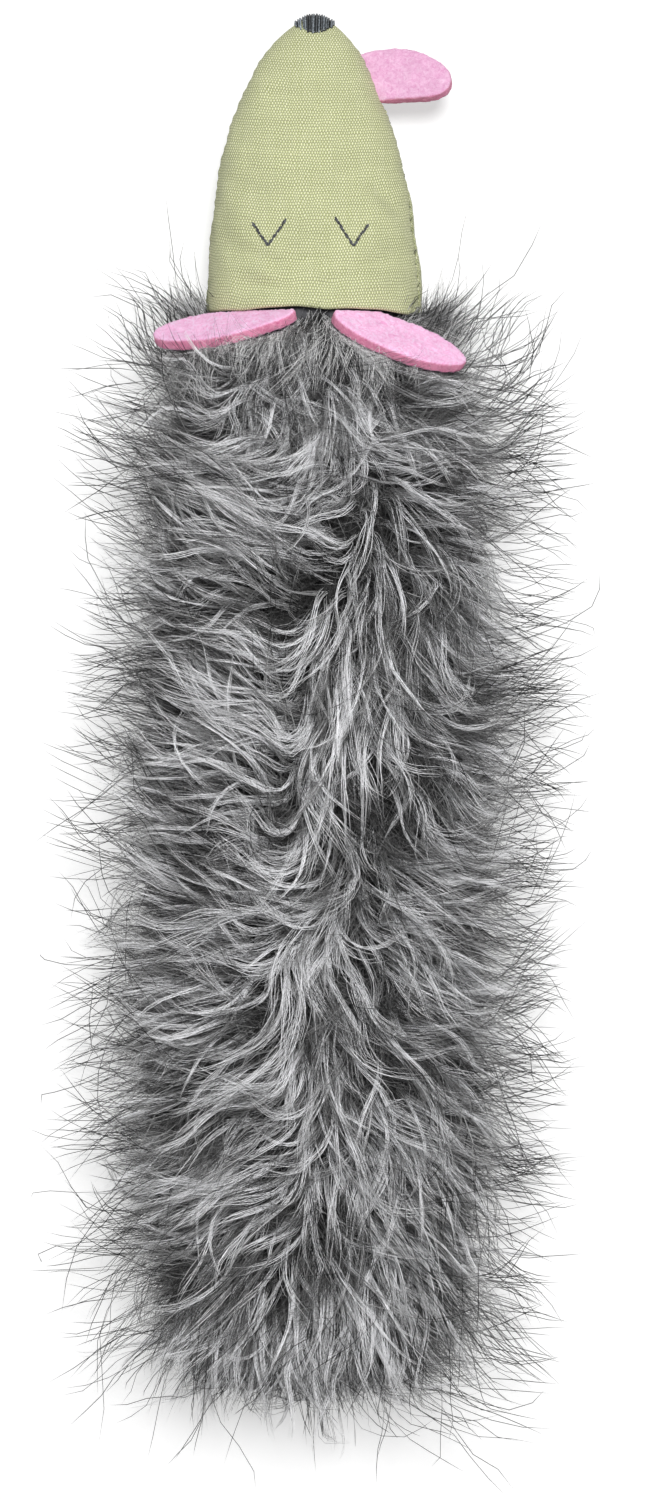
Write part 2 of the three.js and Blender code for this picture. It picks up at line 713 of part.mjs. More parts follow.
const leftEar = addSolid("left_ear", feltSolid(earShape(leftEarLength, leftEarSplay)), pinkFelt);
const rightEar = addSolid("right_ear", feltSolid(earShape(rightEarLength, rightEarSplay)), pinkFelt);
placeEar(leftEar, -1, leftEarTilt);
placeEar(rightEar, 1, rightEarTilt);
const tongueRoot = tongueFrame();
placeTongue(addSolid("tongue", tongueSolid(tongueRoot), pinkFelt), tongueRoot);

export default toy;
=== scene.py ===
# Kicker cat toy: its looks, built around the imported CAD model.
# Points are worked out in millimetres in the CAD frame: +Y to the nose, +Z up, the floor at height 0.
import math

import bpy
import numpy as np
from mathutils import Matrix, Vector


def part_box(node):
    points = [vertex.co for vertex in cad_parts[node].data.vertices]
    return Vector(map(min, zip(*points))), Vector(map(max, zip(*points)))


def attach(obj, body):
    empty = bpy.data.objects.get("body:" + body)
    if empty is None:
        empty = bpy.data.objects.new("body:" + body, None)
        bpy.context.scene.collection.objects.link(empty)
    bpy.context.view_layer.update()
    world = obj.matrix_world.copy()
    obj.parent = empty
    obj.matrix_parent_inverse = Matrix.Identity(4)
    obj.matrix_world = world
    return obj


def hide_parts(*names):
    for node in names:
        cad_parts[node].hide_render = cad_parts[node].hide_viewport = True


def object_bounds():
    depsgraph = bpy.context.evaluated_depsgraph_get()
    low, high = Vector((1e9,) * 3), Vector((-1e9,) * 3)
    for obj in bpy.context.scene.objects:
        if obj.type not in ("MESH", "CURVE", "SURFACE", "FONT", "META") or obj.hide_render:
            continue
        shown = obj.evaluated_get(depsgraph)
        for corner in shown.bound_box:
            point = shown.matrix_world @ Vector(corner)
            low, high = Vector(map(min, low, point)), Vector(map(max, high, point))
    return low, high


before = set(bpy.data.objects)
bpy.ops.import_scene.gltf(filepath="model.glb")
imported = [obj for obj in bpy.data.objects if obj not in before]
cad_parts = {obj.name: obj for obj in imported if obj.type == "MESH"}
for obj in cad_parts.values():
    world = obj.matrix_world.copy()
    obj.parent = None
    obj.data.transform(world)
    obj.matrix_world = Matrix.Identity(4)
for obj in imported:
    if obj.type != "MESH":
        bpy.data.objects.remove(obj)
cad_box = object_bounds()

MM = 0.001  # one millimetre in Blender's metres
FULL_TURN = 2 * math.pi
UP = np.array([0.0, 0.0, 1.0])
BAKE_MAP = "OFBake"
WEAVE_MAP = "weave"
rng = np.random.default_rng(11)


# Small helpers
def box_mm(node):
    low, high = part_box(node)
    return np.array(low) / MM, np.array(high) / MM


def unit(vectors):
    return vectors / np.maximum(np.linalg.norm(vectors, axis=-1, keepdims=True), 1e-9)


def smooth_step(share):
    share = np.clip(share, 0, 1)
    return share * share * (3 - 2 * share)


def heading(degrees):
    """Unit vector over the floor: 0 points to +X and 90 to the nose."""
    radians = np.radians(degrees)
    return np.stack([np.cos(radians), np.sin(radians), np.zeros_like(radians)], -1)


def turned(vectors, degrees):
    """Vectors turned about the upright axis."""
    c, s = np.cos(np.radians(degrees)), np.sin(np.radians(degrees))
    x, y, z = vectors.T
    return np.stack([c * x - s * y, s * x + c * y, z], -1)


def spread_out(low, high, count):
    return rng.uniform(low, high, count)


def blend(grid, row, column, down, across):
    """Values of a grid between its rows and columns."""
    near = grid[row, column] * (1 - across) + grid[row, column + 1] * across
    far = grid[row + 1, column] * (1 - across) + grid[row + 1, column + 1] * across
    return near * (1 - down) + far * down


def points_at(paths, place):
    """Points of each path at places counted in its own steps from the root."""
    index = np.minimum(place.astype(int), paths.shape[1] - 2)
    share = (place - index)[..., None]
    rows = np.arange(len(paths))[:, None]
    return paths[rows, index] * (1 - share) + paths[rows, index + 1] * share


def cross_ways(paths):
    """Two ways square to each path at each of its points, the first of them level."""
    along = unit(np.gradient(paths, axis=1))
    across = unit(np.cross(along, UP) + 1e-6)
    return across, np.cross(across, along)


def outward_ways(depth, points, step):
    """The directions in which a depth grows fastest."""
    slopes = [depth(points + step * axis) - depth(points - step * axis) for axis in np.eye(3)]
    return unit(np.stack(slopes, 1))


def sum_of_waves(points, seed, count, draw_way):
    """Smooth noise between about -1 and 1, from waves along the ways that draw_way picks."""
    draw = np.random.default_rng(seed)
    total = np.zeros(points.shape[:-1])
    for _ in range(count):
        way = draw_way(draw)
        total += np.sin(points @ way + draw.uniform(0, FULL_TURN))
    return total / math.sqrt(count / 2) / 1.6


def slow_noise(points, seed, wavelength):
    """Smooth noise over the floor, the same at every height."""
    def way(draw):
        return heading(draw.uniform(0, 360))[:2] * draw.uniform(0.6, 1.4) * FULL_TURN / wavelength
    return sum_of_waves(points[:, :2], seed, 9, way)


def lumps(points, seed, wavelength):
    """Smooth noise in space."""
    def way(draw):
        return unit(draw.normal(0, 1, 3)) * draw.uniform(0.6, 1.5) * FULL_TURN / wavelength
    return sum_of_waves(points, seed, 12, way)


# Shader helpers
def add_node(tree, kind, inputs=None, **settings):
    made = tree.nodes.new(kind)
    for name, value in settings.items():
        setattr(made, name, value)
    for name, value in (inputs or {}).items():
        if isinstance(value, bpy.types.NodeSocket):
            tree.links.new(value, made.inputs[name])
        else:
            made.inputs[name].default_value = value
    return made


def math_node(tree, operation, *values):
    return add_node(tree, "ShaderNodeMath", dict(enumerate(values)), operation=operation).outputs[0]


def ramp_node(tree, factor, stops):
    """A colour ramp over (place, grey level or colour) stops."""
    made = add_node(tree, "ShaderNodeValToRGB", {"Fac": factor})
    elements = made.color_ramp.elements
    while len(elements) < len(stops):
        elements.new(1)
    for element, (place, colour) in zip(elements, stops):
        element.position = place
        element.color = (colour, colour, colour, 1) if np.isscalar(colour) else (*colour, 1)
    return made.outputs["Color"]


def mix_node(tree, factor, first, second, blend_type="MIX"):
    inputs = {0: factor, 6: first, 7: second}
    return add_node(tree, "ShaderNodeMix", inputs, data_type="RGBA", blend_type=blend_type).outputs[2]


def product(tree, first, second):
    return mix_node(tree, 1.0, first, second, "MULTIPLY")


def noise_node(tree, place, scale, detail, **inputs):
    inputs = {"Vector": place, "Scale": scale, "Detail": detail, **inputs}
    return add_node(tree, "ShaderNodeTexNoise", inputs).outputs["Fac"]


def object_place(tree):
    return add_node(tree, "ShaderNodeTexCoord").outputs["Object"]


def map_place(tree, name):
    return add_node(tree, "ShaderNodeUVMap", uv_map=name).outputs["UV"]


def in_parts(tree, vector):
    return add_node(tree, "ShaderNodeSeparateXYZ", {"Vector": vector}).outputs


def new_material(name, roughness, specular=0.5, sheen=0.0):
    material = bpy.data.materials.new(name)
    material.use_nodes = True
    shader = material.node_tree.nodes["Principled BSDF"]
    shader.inputs["Roughness"].default_value = roughness
    shader.inputs["Specular IOR Level"].default_value = specular
    shader.inputs["Sheen Weight"].default_value = sheen
    return material, material.node_tree, shader


def set_colour(tree, shader, colour):
    tree.links.new(colour, shader.inputs["Base Color"])


def set_bump(tree, shader, height, strength, distance):
    inputs = {"Strength": strength, "Distance": distance * MM, "Height": height}
    tree.links.new(add_node(tree, "ShaderNodeBump", inputs).outputs["Normal"], shader.inputs["Normal"])


def grainy_material(name, stops, bump, scale, detail, sheen=0.0, **inputs):
    """A matt material whose colour and relief come from one noise."""
    material, tree, shader = new_material(name, 0.9, specular=0.2, sheen=sheen)
    grain = noise_node(tree, object_place(tree), scale, detail, **inputs)
    set_colour(tree, shader, ramp_node(tree, grain, stops))
    set_bump(tree, shader, grain, *bump)
    return material


# Mesh helpers
def make_piece(name, points, corners, sizes, material, uv=None):
    """A mesh object from points in millimetres and the corners of its faces, one face after the other."""
    mesh = bpy.data.meshes.new(name)
    mesh.vertices.add(len(points))
    mesh.vertices.foreach_set("co", (np.asarray(points) * MM).astype(np.float32).ravel())
    mesh.loops.add(len(corners))
    mesh.loops.foreach_set("vertex_index", corners.astype(np.int32))
    mesh.polygons.add(len(sizes))
    starts = np.concatenate([[0], np.cumsum(sizes)[:-1]]).astype(np.int32)
    mesh.polygons.foreach_set("loop_start", starts)
    mesh.polygons.foreach_set("use_smooth", np.ones(len(sizes), bool))
    mesh.update(calc_edges=True)
    mesh.materials.append(material)
    made = bpy.data.objects.new(name, mesh)
    bpy.context.scene.collection.objects.link(made)
    if uv is not None:
        add_map(made, BAKE_MAP, uv[corners])
    return made


def add_map(piece, name, places):
    layer = piece.data.uv_layers.new(name=name)
    layer.uv.foreach_set("vector", places.astype(np.float32).ravel())


def read_values(items, name, width=1, kind=float):
    """A property of all vertices, faces or corners of a mesh."""
    values = np.empty(width * len(items), kind)
    items.foreach_get(name, values)
    return values.reshape(-1, width) if width > 1 else values


def ride_as(piece, body, slot, *replaced):
    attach(piece, body)
    if replaced:
        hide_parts(*replaced)
    return piece


def loft(name, rings, first, last, material):
    """A closed surface over rings of points, with a point at each end."""
    count, sides, _ = rings.shape
    points = np.concatenate([[first], rings.reshape(-1, 3), [last]])
    at = 1 + np.arange(count * sides).reshape(count, sides)
    after = np.roll(at, -1, 1)
    quads = np.stack([at[:-1], after[:-1], after[1:], at[1:]], -1).reshape(-1, 4)
    ends = [
        np.stack([np.zeros(sides, int), after[0], at[0]], -1),
        np.stack([np.full(sides, len(points) - 1), at[-1], after[-1]], -1),
    ]
    corners = np.concatenate([quads.ravel(), ends[0].ravel(), ends[1].ravel()])
    sizes = np.concatenate([np.full(len(quads), 4), np.full(2 * sides, 3)])
    return make_piece(name, points, corners, sizes, material)


def corner_values(near, far):
    """Values at the corners of a loft's faces, from those on the two sides of each column of faces."""
    quads = np.stack([near[:-1], far[:-1], far[1:], near[1:]], -1)
    first = np.stack([(near[0] + far[0]) / 2, far[0], near[0]], -1)
    last = np.stack([(near[-1] + far[-1]) / 2, near[-1], far[-1]], -1)
    return np.concatenate([quads.ravel(), first.ravel(), last.ravel()])


# Ovals, which the sections of the body and the head are
def oval(angle, half, rise, drop, squareness):
    """Across and up to points of an oval, whose upper and lower parts each have their own squareness."""
    c, s = np.cos(angle), np.sin(angle)
    power = 2 / np.where(s >= 0, *squareness)
    across = half * np.sign(c) * np.abs(c) ** power
    return across, np.where(s >= 0, rise, drop) * np.sign(s) * np.abs(s) ** power


def oval_depth(across, up, half, rise, drop, squareness):
    """Under 1 inside an oval, 1 on it and more outside, in step with the distance from its middle."""
    power = np.where(up >= 0, *squareness)
    height = np.where(up >= 0, rise, drop)
    return (np.abs(across / half) ** power + np.abs(up / height) ** power) ** (1 / power)


# Skin of the body, which is the plush's woven back. Rows from its front to its tail, as shares: place along
# the stuffing, half width, height over the side seams, depth below them, and how far those have climbed
SKIN_ROWS = np.array([
    (0.00, 0.28, 0.36, 0.42, 0.00),
    (0.02, 0.50, 0.42, 0.75, 0.00),
    (0.05, 0.70, 0.52, 0.90, 0.02),
    (0.09, 0.84, 0.66, 0.97, 0.14),
    (0.14, 0.92, 0.82, 1.00, 0.55),
    (0.20, 0.97, 0.93, 1.00, 0.90),
    (0.30, 1.00, 1.00, 1.00, 1.00),
    (0.70, 1.00, 1.00, 1.00, 1.00),
    (0.84, 0.96, 0.95, 0.99, 1.00),
    (0.92, 0.86, 0.86, 0.94, 1.00),
    (0.97, 0.68, 0.70, 0.80, 1.00),
    (0.98, 0.60, 0.62, 0.72, 1.00),
    (0.99, 0.51, 0.53, 0.62, 1.00),
    (1.00, 0.30, 0.30, 0.36, 1.00),
])
SKIN_SQUARENESS = (2.4, 2.4)  # over and under the side seams
BACKING = 1.2  # thickness of the plush's back over the stuffing
HEM_SEAM_HEIGHT = 16.549
BODY_SEAM_HEIGHT = 24.0
core_low, core_high = box_mm("body_stuffing")
SKIN_FRONT = np.array([0, core_high[1] + BACKING, HEM_SEAM_HEIGHT])
SKIN_END = np.array([0, core_low[1] - BACKING, BODY_SEAM_HEIGHT])


def skin_section(y):
    """Half width, rise, drop and seam height of the skin at places along the body."""
    place = (core_high[1] + BACKING - y) / (core_high[1] - core_low[1] + 2 * BACKING)
    width, rise, drop, climb = (np.interp(place, SKIN_ROWS[:, 0], column) for column in SKIN_ROWS[:, 1:].T)
    seam = HEM_SEAM_HEIGHT + (BODY_SEAM_HEIGHT - HEM_SEAM_HEIGHT) * climb
    half = width * (core_high[0] + BACKING)
    top = rise * (core_high[2] + BACKING - BODY_SEAM_HEIGHT)
    return half, top, drop * (seam - core_low[2] + BACKING), seam


def skin_points(y, angle):
    *section, seam = skin_section(y)
    x, up = oval(angle, *section, SKIN_SQUARENESS)
    return np.stack([x, y, seam + up], -1)


def skin_depth(points):
    x, y, z = points.T
    *section, seam = skin_section(y)
    return oval_depth(x, z - seam, *section, SKIN_SQUARENESS)


def skin_normals(points):
    on_tail_end = (points[:, 1] < core_low[1]) & (skin_depth(points) < 1)
    return np.where(on_tail_end[:, None], (0, -1, 0), outward_ways(skin_depth, points, 0.4))


# Head: the canvas cone of the CAD model, as formulas of the share of its length behind the nose tip
head_low, head_high = box_mm("head_top_panel")
TIP_Y = head_high[1]
HEM_Y = head_low[1]
HEM_HALF_WIDTH = 26.3
HEAD_RISE = 17.0
HEAD_DROP = 15.5
NOSE_SEAM_SHARE = 0.6
HEAD_CURVE_POWER = 1.7
HEAD_FULLNESS = 0.55
HEAD_SQUARENESS = (2.2, 2.4)  # over and under the side seams


def behind_tip(y):
    return (TIP_Y - y) / (TIP_Y - HEM_Y)


def head_section(share):
    """Half width, rise, drop and seam height of the head."""
    share = np.clip(share, 1e-6, 1)
    swell = (1 - (1 - share) ** HEAD_CURVE_POWER) ** HEAD_FULLNESS
    seam = HEM_SEAM_HEIGHT * (NOSE_SEAM_SHARE + (1 - NOSE_SEAM_SHARE) * share)
    return HEM_HALF_WIDTH * swell, HEAD_RISE * swell, HEAD_DROP * swell, seam


def head_points(share, angle):
    *section, seam = head_section(share)
    x, up = oval(angle, *section, HEAD_SQUARENESS)
    return np.stack(np.broadcast_arrays(x, TIP_Y - share * (TIP_Y - HEM_Y), seam + up), -1)


def head_depth(points):
    x, y, z = points.T
    *section, seam = head_section(behind_tip(y))
    return oval_depth(x, z - seam, *section, HEAD_SQUARENESS)


def head_normals(points):
    return outward_ways(head_depth, points, 0.05)


def head_surface(x, y, upper=True):
    """Points on the head over or under (x, y)."""
    half, rise, drop, seam = head_section(behind_tip(y))
    power = HEAD_SQUARENESS[0] if upper else HEAD_SQUARENESS[1]
    across = np.clip(np.abs(x) / half, 0, 0.999)
    height = (rise if upper else -drop) * (1 - across**power) ** (1 / power)
    return np.stack(np.broadcast_arrays(x, y, seam + height), -1)


# Directions that the fur is combed in, in degrees: rows at places from the nose to the tail, columns from
# the left edge to the right edge
COMB_PLACES = np.array([100, 86, 72, 58, 44, 30, 16, 2, -13, -28, -42, -56, -85, -115, -140, -160])
COMB_COLUMNS = np.array([-60, -45, -30, -15, 0, 15, 30, 45, 60])
COMB = [
    [140, 125, 115, 200, 270, 340, 65, 55, 40],
    [152, 138, 150, 240, 268, 300, 30, 42, 28],
    [172, 180, 215, 255, 272, 292, 325, 2, 8],
    [165, 165, 180, 215, 260, 315, 335, 355, 8],
    [153, 147, 142, 148, 170, 268, 305, 345, 355],
    [155, 150, 148, 160, 225, 270, 300, 340, 352],
    [158, 168, 172, 180, 225, 270, 300, 345, 357],
    [150, 155, 152, 145, 240, 285, 305, 355, 8],
    [148, 160, 158, 130, 262, 262, 300, 345, 8],
    [150, 165, 160, 145, 262, 275, 325, 355, 12],
    [163, 165, 162, 165, 230, 310, 345, 0, 6],
    [170, 172, 174, 185, 262, 318, 335, 350, 0],
    [183, 188, 196, 212, 265, 300, 315, 332, 347],
    [188, 193, 198, 218, 262, 288, 306, 325, 343],
    [198, 206, 222, 243, 264, 290, 314, 330, 342],
    [225, 236, 248, 262, 276, 300, 325, 345, 355],
]
comb_vectors = heading(np.array(COMB, float))


def between(places, value):
    """The index of the place before each value, and how far it is on the way to the next, eased."""
    index = np.clip(np.searchsorted(places, value) - 1, 0, len(places) - 2)
    return index, smooth_step((value - places[index]) / (places[index + 1] - places[index]))


def combed(points):
    """The direction over the floor that the fur is combed in at each point."""
    row, down = between(-COMB_PLACES, -(points[:, 1] + 6 * slow_noise(points, 3, 34)))
    column, across = between(COMB_COLUMNS, points[:, 0] + 7 * slow_noise(points, 4, 40))
    return unit(blend(comb_vectors, row, column, down[:, None], across[:, None]))


# Where fur may go
FLOOR_CLEARANCE = 0.35
HEAD_CLEARANCE_SHARE = 1.04
cad_low, cad_high = (np.array(corner) / MM for corner in cad_box)
# Fur past the first limit is drawn in, and none passes the second
REACH_X = cad_high[0] + np.array([10.0, 13.0])
REACH_TAIL = -cad_low[1] + np.array([14.0, 19.0])
REACH_UP = cad_high[2] + np.array([2.0, 10.5])


def draw_in(values, limits):
    """Values past the first limit are squeezed so that none passes the second."""
    start, end = limits
    room = end - start
    past = np.maximum((values - start) / room, 0)
    return np.where(past > 0, start + room * (1 - np.exp(-past)), values)


RING_ANGLES = np.linspace(0, FULL_TURN, 24, endpoint=False)
RING = np.stack([np.cos(RING_ANGLES), np.sin(RING_ANGLES)])


def felt_plate(node):
    """Middle of a felt piece, axes from the longest to the thinnest, half its thickness, and how far its
    outline reaches along each direction of the ring."""
    points = np.array([v.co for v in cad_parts[node].data.vertices]) / MM
    axes = np.linalg.svd(points - points.mean(0), full_matrices=False)[2]
    if axes[2][2] < 0:
        axes[2] *= -1
    local = points @ axes.T
    middle = (local.max(0) + local.min(0)) / 2 @ axes
    local = (points - middle) @ axes.T
    return middle, axes, local[:, 2].max(), (local[:, :2] @ RING).max(0)


EARS = [felt_plate("left_ear"), felt_plate("right_ear")]
EARS_Y = 80.0  # no ear reaches nearer to the tail
EAR_MARGIN = 1.0  # between an ear and the fur pressed under it
EAR_PRESS_HEIGHT = 5.0
EAR_OUTLINE_MARGIN = 0.8


def over_plate(points, plate):
    """How far points are inside the outline of a felt piece, seen square on, and how high over it."""
    middle, axes, half, reach = plate
    local = (points - middle) @ axes.T
    return (reach - local[..., :2] @ RING).min(-1), local[..., 2]


def under_ears(points):
    """Fur just over an ear is pressed under it."""
    points = points.copy()
    near = points[:, 1] > EARS_Y
    for plate in EARS:
        inside, height = over_plate(points[near], plate)
        most = -plate[2] - EAR_MARGIN
        pressed = (height > most) & (height < EAR_PRESS_HEIGHT)
        weight = smooth_step((inside + 4.0) / 3.0) * pressed
        points[near] += (weight * (most - height))[:, None] * plate[1][2]
    return points


def over_ears(points):
    """How far points are past the outline of an ear that they are over, in millimetres."""
    most = np.full(points.shape[:-1], -99.0)
    near = points[..., 1] > EARS_Y
    for plate in EARS:
        inside, height = over_plate(points[near], plate)
        past = inside + EAR_OUTLINE_MARGIN + 0.5 * np.clip(height, 0, 8)
        most[near] = np.where(height > -plate[2], np.maximum(most[near], past), most[near])
    return most


def grown(points, grow, seam):
    """Points moved away from the middle line at the height of the seams."""
    x, y, z = points.T
    return np.stack([x * grow, y, seam + (z - seam) * grow], -1)


def keep_clear(points, margin):
    """Points moved out of the skin, the head and the floor, and in from the limits of the toy's size."""
    y = points[:, 1]
    depth = skin_depth(points)
    inside = (y < core_high[1]) & (y > core_low[1]) & (depth < 1 + margin)
    grow = np.where(inside, (1 + margin) / np.maximum(depth, 0.2), 1)
    made = grown(points, grow, skin_section(y)[3])
    depth = head_depth(made)
    inside = (y > HEM_Y - 1) & (depth < HEAD_CLEARANCE_SHARE)
    grow = np.where(inside, HEAD_CLEARANCE_SHARE / np.maximum(depth, 0.3), 1)
    made = under_ears(grown(made, grow, head_section(behind_tip(y))[3]))
    made[:, 0] = np.sign(made[:, 0]) * draw_in(np.abs(made[:, 0]), REACH_X)
    made[:, 1] = -draw_in(-made[:, 1], REACH_TAIL)
    made[:, 2] = np.maximum(draw_in(made[:, 2], REACH_UP), FLOOR_CLEARANCE)
    return made


# Strands, for hairs and threads
HAIR_MAP_WIDTH = 0.002  # of a hair on the bake's map, as a share of it


def strand_mesh(name, paths, radii, tones, material, sides=3):
    """One piece of thin hairs or threads, each a closed tube that ends in a point."""
    count, steps, _ = paths.shape
    rings = steps - 1
    across, over = (way[:, :rings, None] for way in cross_ways(paths))
    turn = FULL_TURN * np.arange(sides)[None, None, :, None] / sides
    round_path = np.cos(turn) * across + np.sin(turn) * over
    ring_points = paths[:, :rings, None] + radii[:, :rings, None, None] * round_path
    own = rings * sides + 1
    points = np.concatenate([ring_points.reshape(count, -1, 3), paths[:, -1:]], 1).reshape(-1, 3)
    faces = []
    for side in range(sides):
        after = (side + 1) % sides
        for ring in range(rings - 1):
            a, b = ring * sides, (ring + 1) * sides
            faces.append([a + side, a + after, b + after, b + side])
        last = (rings - 1) * sides
        faces.append([last + side, last + after, own - 1])
    faces.append(list(range(sides))[::-1])
    corners = np.concatenate(faces)[None] + own * np.arange(count)[:, None]
    sizes = np.tile([len(face) for face in faces], count)
    along = np.append(np.repeat(np.arange(rings) / rings, sides), 1)
    aside = np.append(np.tile(np.arange(sides) - 1.0, rings), 0) * HAIR_MAP_WIDTH
    uv = np.stack(np.broadcast_arrays(along[None], tones[:, None] + aside[None]), -1).reshape(-1, 2)
    return make_piece(name, points, corners.ravel(), sizes, material, uv)


def skin_roots(count, weight):
    """Random places on the skin, as dense as weight says for (y, angle)."""
    rows, columns = 260, 180
    y = np.linspace(core_low[1] - 0.5, core_high[1] + 0.5, rows + 1)
    angle = np.linspace(-math.pi, math.pi, columns + 1)
    grid = skin_points(*(g.ravel() for g in np.meshgrid(y, angle, indexing="ij")))
    grid = np.concatenate([np.tile(SKIN_END, (1, columns + 1, 1)), grid.reshape(rows + 1, columns + 1, 3)])
    y = np.append(y[0] - 1, y)
    diagonals = grid[1:, 1:] - grid[:-1, :-1], grid[1:, :-1] - grid[:-1, 1:]
    area = np.linalg.norm(np.cross(*diagonals), axis=-1)
    chance = area * weight((y[:-1] + y[1:])[:, None] / 2, (angle[:-1] + angle[1:])[None] / 2)
    chosen = rng.choice(chance.size, count, p=(chance / chance.sum()).ravel())
    row, column = np.divmod(chosen, columns)
    down, across = rng.random((2, count, 1))
    return blend(grid, row, column, down, across)


def side_share(roots):
    """1 on the body's sides and tail end, and 0 on its top and belly."""
    normals = skin_normals(roots)
    return smooth_step((normals[:, 0] ** 2 + np.minimum(normals[:, 1], 0) ** 2 - 0.25) / 0.6)


def hanging_way(roots):
    """Fur on the sides hangs down and leans to either hand."""
    outward = skin_normals(roots) * (1, 1, 0)
    along = np.cross(unit(outward), UP) * rng.normal(0, 0.75, (len(roots), 1))
    return unit(0.2 * outward + along - 0.8 * UP)


def grow_paths(roots, lengths, steps, turn, bend, lift, droop, margin, hang=1.0):
    """Paths that leave the skin, then lie down along the combing, bend aside and sink with their weight."""
    paths = np.empty((len(roots), steps + 1, 3))
    paths[:, 0] = here = roots
    first_lift, last_lift = lift
    side = side_share(roots)[:, None] * hang
    hanging = hanging_way(roots)
    for i in range(steps):
        share = i / (steps - 1)
        swirl = 16 * slow_noise(here, 5, 26) + turn + bend * share
        way = unit(turned(combed(here), swirl) * (1 - side) + hanging * side)
        rise = np.radians(first_lift + (last_lift - first_lift) * smooth_step(share * 1.3))
        rise = rise[:, None] * (1 - 0.6 * side)
        sinking = np.reshape(droop, (-1, 1)) * share * UP
        direction = unit(np.cos(rise) * way + np.sin(rise) * skin_normals(here) - sinking)
        here = keep_clear(here + direction * (lengths / steps)[:, None], margin * min(1, (i + 1) / 3))
        paths[:, i + 1] = here
    return paths


def add_waves(paths, height, turns):
    """Sideways waves that grow from the root on."""
    share = np.linspace(0, 1, paths.shape[1])[None]
    for way, scale in zip(cross_ways(paths), (1.0, 0.4)):
        phase = rng.uniform(0, FULL_TURN, (len(paths), 1))
        wave = np.sin(FULL_TURN * turns[:, None] * share + phase) - np.sin(phase)
        paths = paths + way * (scale * height[:, None] * share**0.8 * wave)[..., None]
    return paths


def tuft(guides, each, spread, clump, frizz, shorten, steps, margin):
    """Hairs round each guide: spread apart at the root, drawn together by clump towards the tip."""
    count = len(guides) * each
    values = (np.broadcast_to(value, len(guides)) for value in (spread, clump, frizz))
    spread, clump, frizz = (np.repeat(value, each)[:, None] for value in values)
    share = np.linspace(0, 1, steps + 1)[None]
    reach = share * rng.uniform(shorten, 1.0, (count, 1))
    paths = points_at(np.repeat(guides, each, axis=0), reach * (guides.shape[1] - 1))
    offset = rng.normal(0, 1, (count, 3)) * spread
    drawn = 1 - clump * smooth_step(share / 0.8)
    paths = paths + offset[:, None] * drawn[..., None]
    for turns in (0.7, 1.9):
        phase = rng.uniform(0, FULL_TURN, (count, 1, 3))
        amount = frizz[..., None] * share[..., None] ** 0.7 / turns**0.5
        paths = paths + amount * (np.sin(FULL_TURN * turns * share[..., None] + phase) - np.sin(phase))
    return keep_clear(paths.reshape(-1, 3), margin).reshape(paths.shape)


def middle_line(y):
    """How far the fur's middle lies to the right: it bends a little to the left towards the tail."""
    return np.interp(y, [-165, -60, 20, 90], [-2.5, -1.3, 3.2, 2])


def falling_off(start, scale, count):
    """Limits that most hairs keep to the start of, and ever fewer pass."""
    return start + rng.exponential(scale, count)


def lock_limits(start, scale, count, each):
    """The same for locks: the hairs of one end near each other."""
    return np.repeat(falling_off(start, scale, count), each) + rng.normal(0, 2, count * each)


def crossing(past):
    """The share of each hair's length at which its values first pass zero."""
    count, steps = past.shape
    over = past > 0
    first = np.maximum(np.where(over.any(1), over.argmax(1), steps - 1), 1)
    rows = np.arange(count)
    before, after = past[rows, first - 1], past[rows, first]
    part = np.where(over.any(1), np.clip(-before / np.maximum(after - before, 1e-6), 0, 1), 1)
    return (first - 1 + part) / (steps - 1)


def first_part(paths, end, steps):
    """Each path from its root to a share of its length, as so many points."""
    return points_at(paths, np.linspace(0, 1, steps)[None] * end[:, None] * (paths.shape[1] - 1))


def trimmed(paths, side, tail):
    """Each hair cut where it passes its own limits at the sides and at the tail, or comes over an ear."""
    count, steps, _ = paths.shape
    side = np.minimum(side, REACH_X[0] - spread_out(0, 8, count))
    tail = np.minimum(tail, REACH_TAIL[0])
    aside = np.abs(paths[..., 0] - middle_line(paths[..., 1]))
    past = np.maximum(aside - side[:, None], -paths[..., 1] - np.reshape(tail, (-1, 1)))
    past = np.maximum(past, paths[..., 1] - falling_off(101, 6, count)[:, None])
    end = np.maximum(crossing(past), 0.25)
    near = paths[..., 1].max(1) > EARS_Y
    closely = first_part(paths[near], np.ones(near.sum()), 4 * steps)
    end[near] = np.minimum(end[near], np.maximum(crossing(over_ears(closely)), 0.02))
    return first_part(paths, end, steps)


def taper(paths, thickness, tip_share=0.25):
    share = np.linspace(0, 1, paths.shape[1])[None]
    radii = spread_out(*thickness, len(paths))[:, None]
    return radii * (1 - (1 - tip_share) * share**2)


def in_pieces(name, paths, radii, tones, material, most, replaced):
    """The hairs as pieces that run from the neck to the tail, each with at most so many."""
    order = np.argsort(-paths[:, 0, 1])
    pieces = math.ceil(len(order) / most)
    for i, chosen in enumerate(np.array_split(order, pieces)):
        piece = strand_mesh(f"{name}_{i + 1}", paths[chosen], radii[chosen], tones[chosen], material)
        ride_as(piece, "plush", "grey_plush", *replaced)


# Fur
def fur_material(name, stops, tones, roughness, specular=0.35, sheen=0.0):
    """Hair colour by the place along each hair, made darker or lighter from hair to hair."""
    material, tree, shader = new_material(name, roughness, specular=specular, sheen=sheen)
    parts = in_parts(tree, map_place(tree, BAKE_MAP))
    along, tone = ramp_node(tree, parts["X"], stops), ramp_node(tree, parts["Y"], tones)
    set_colour(tree, shader, product(tree, along, tone))
    return material


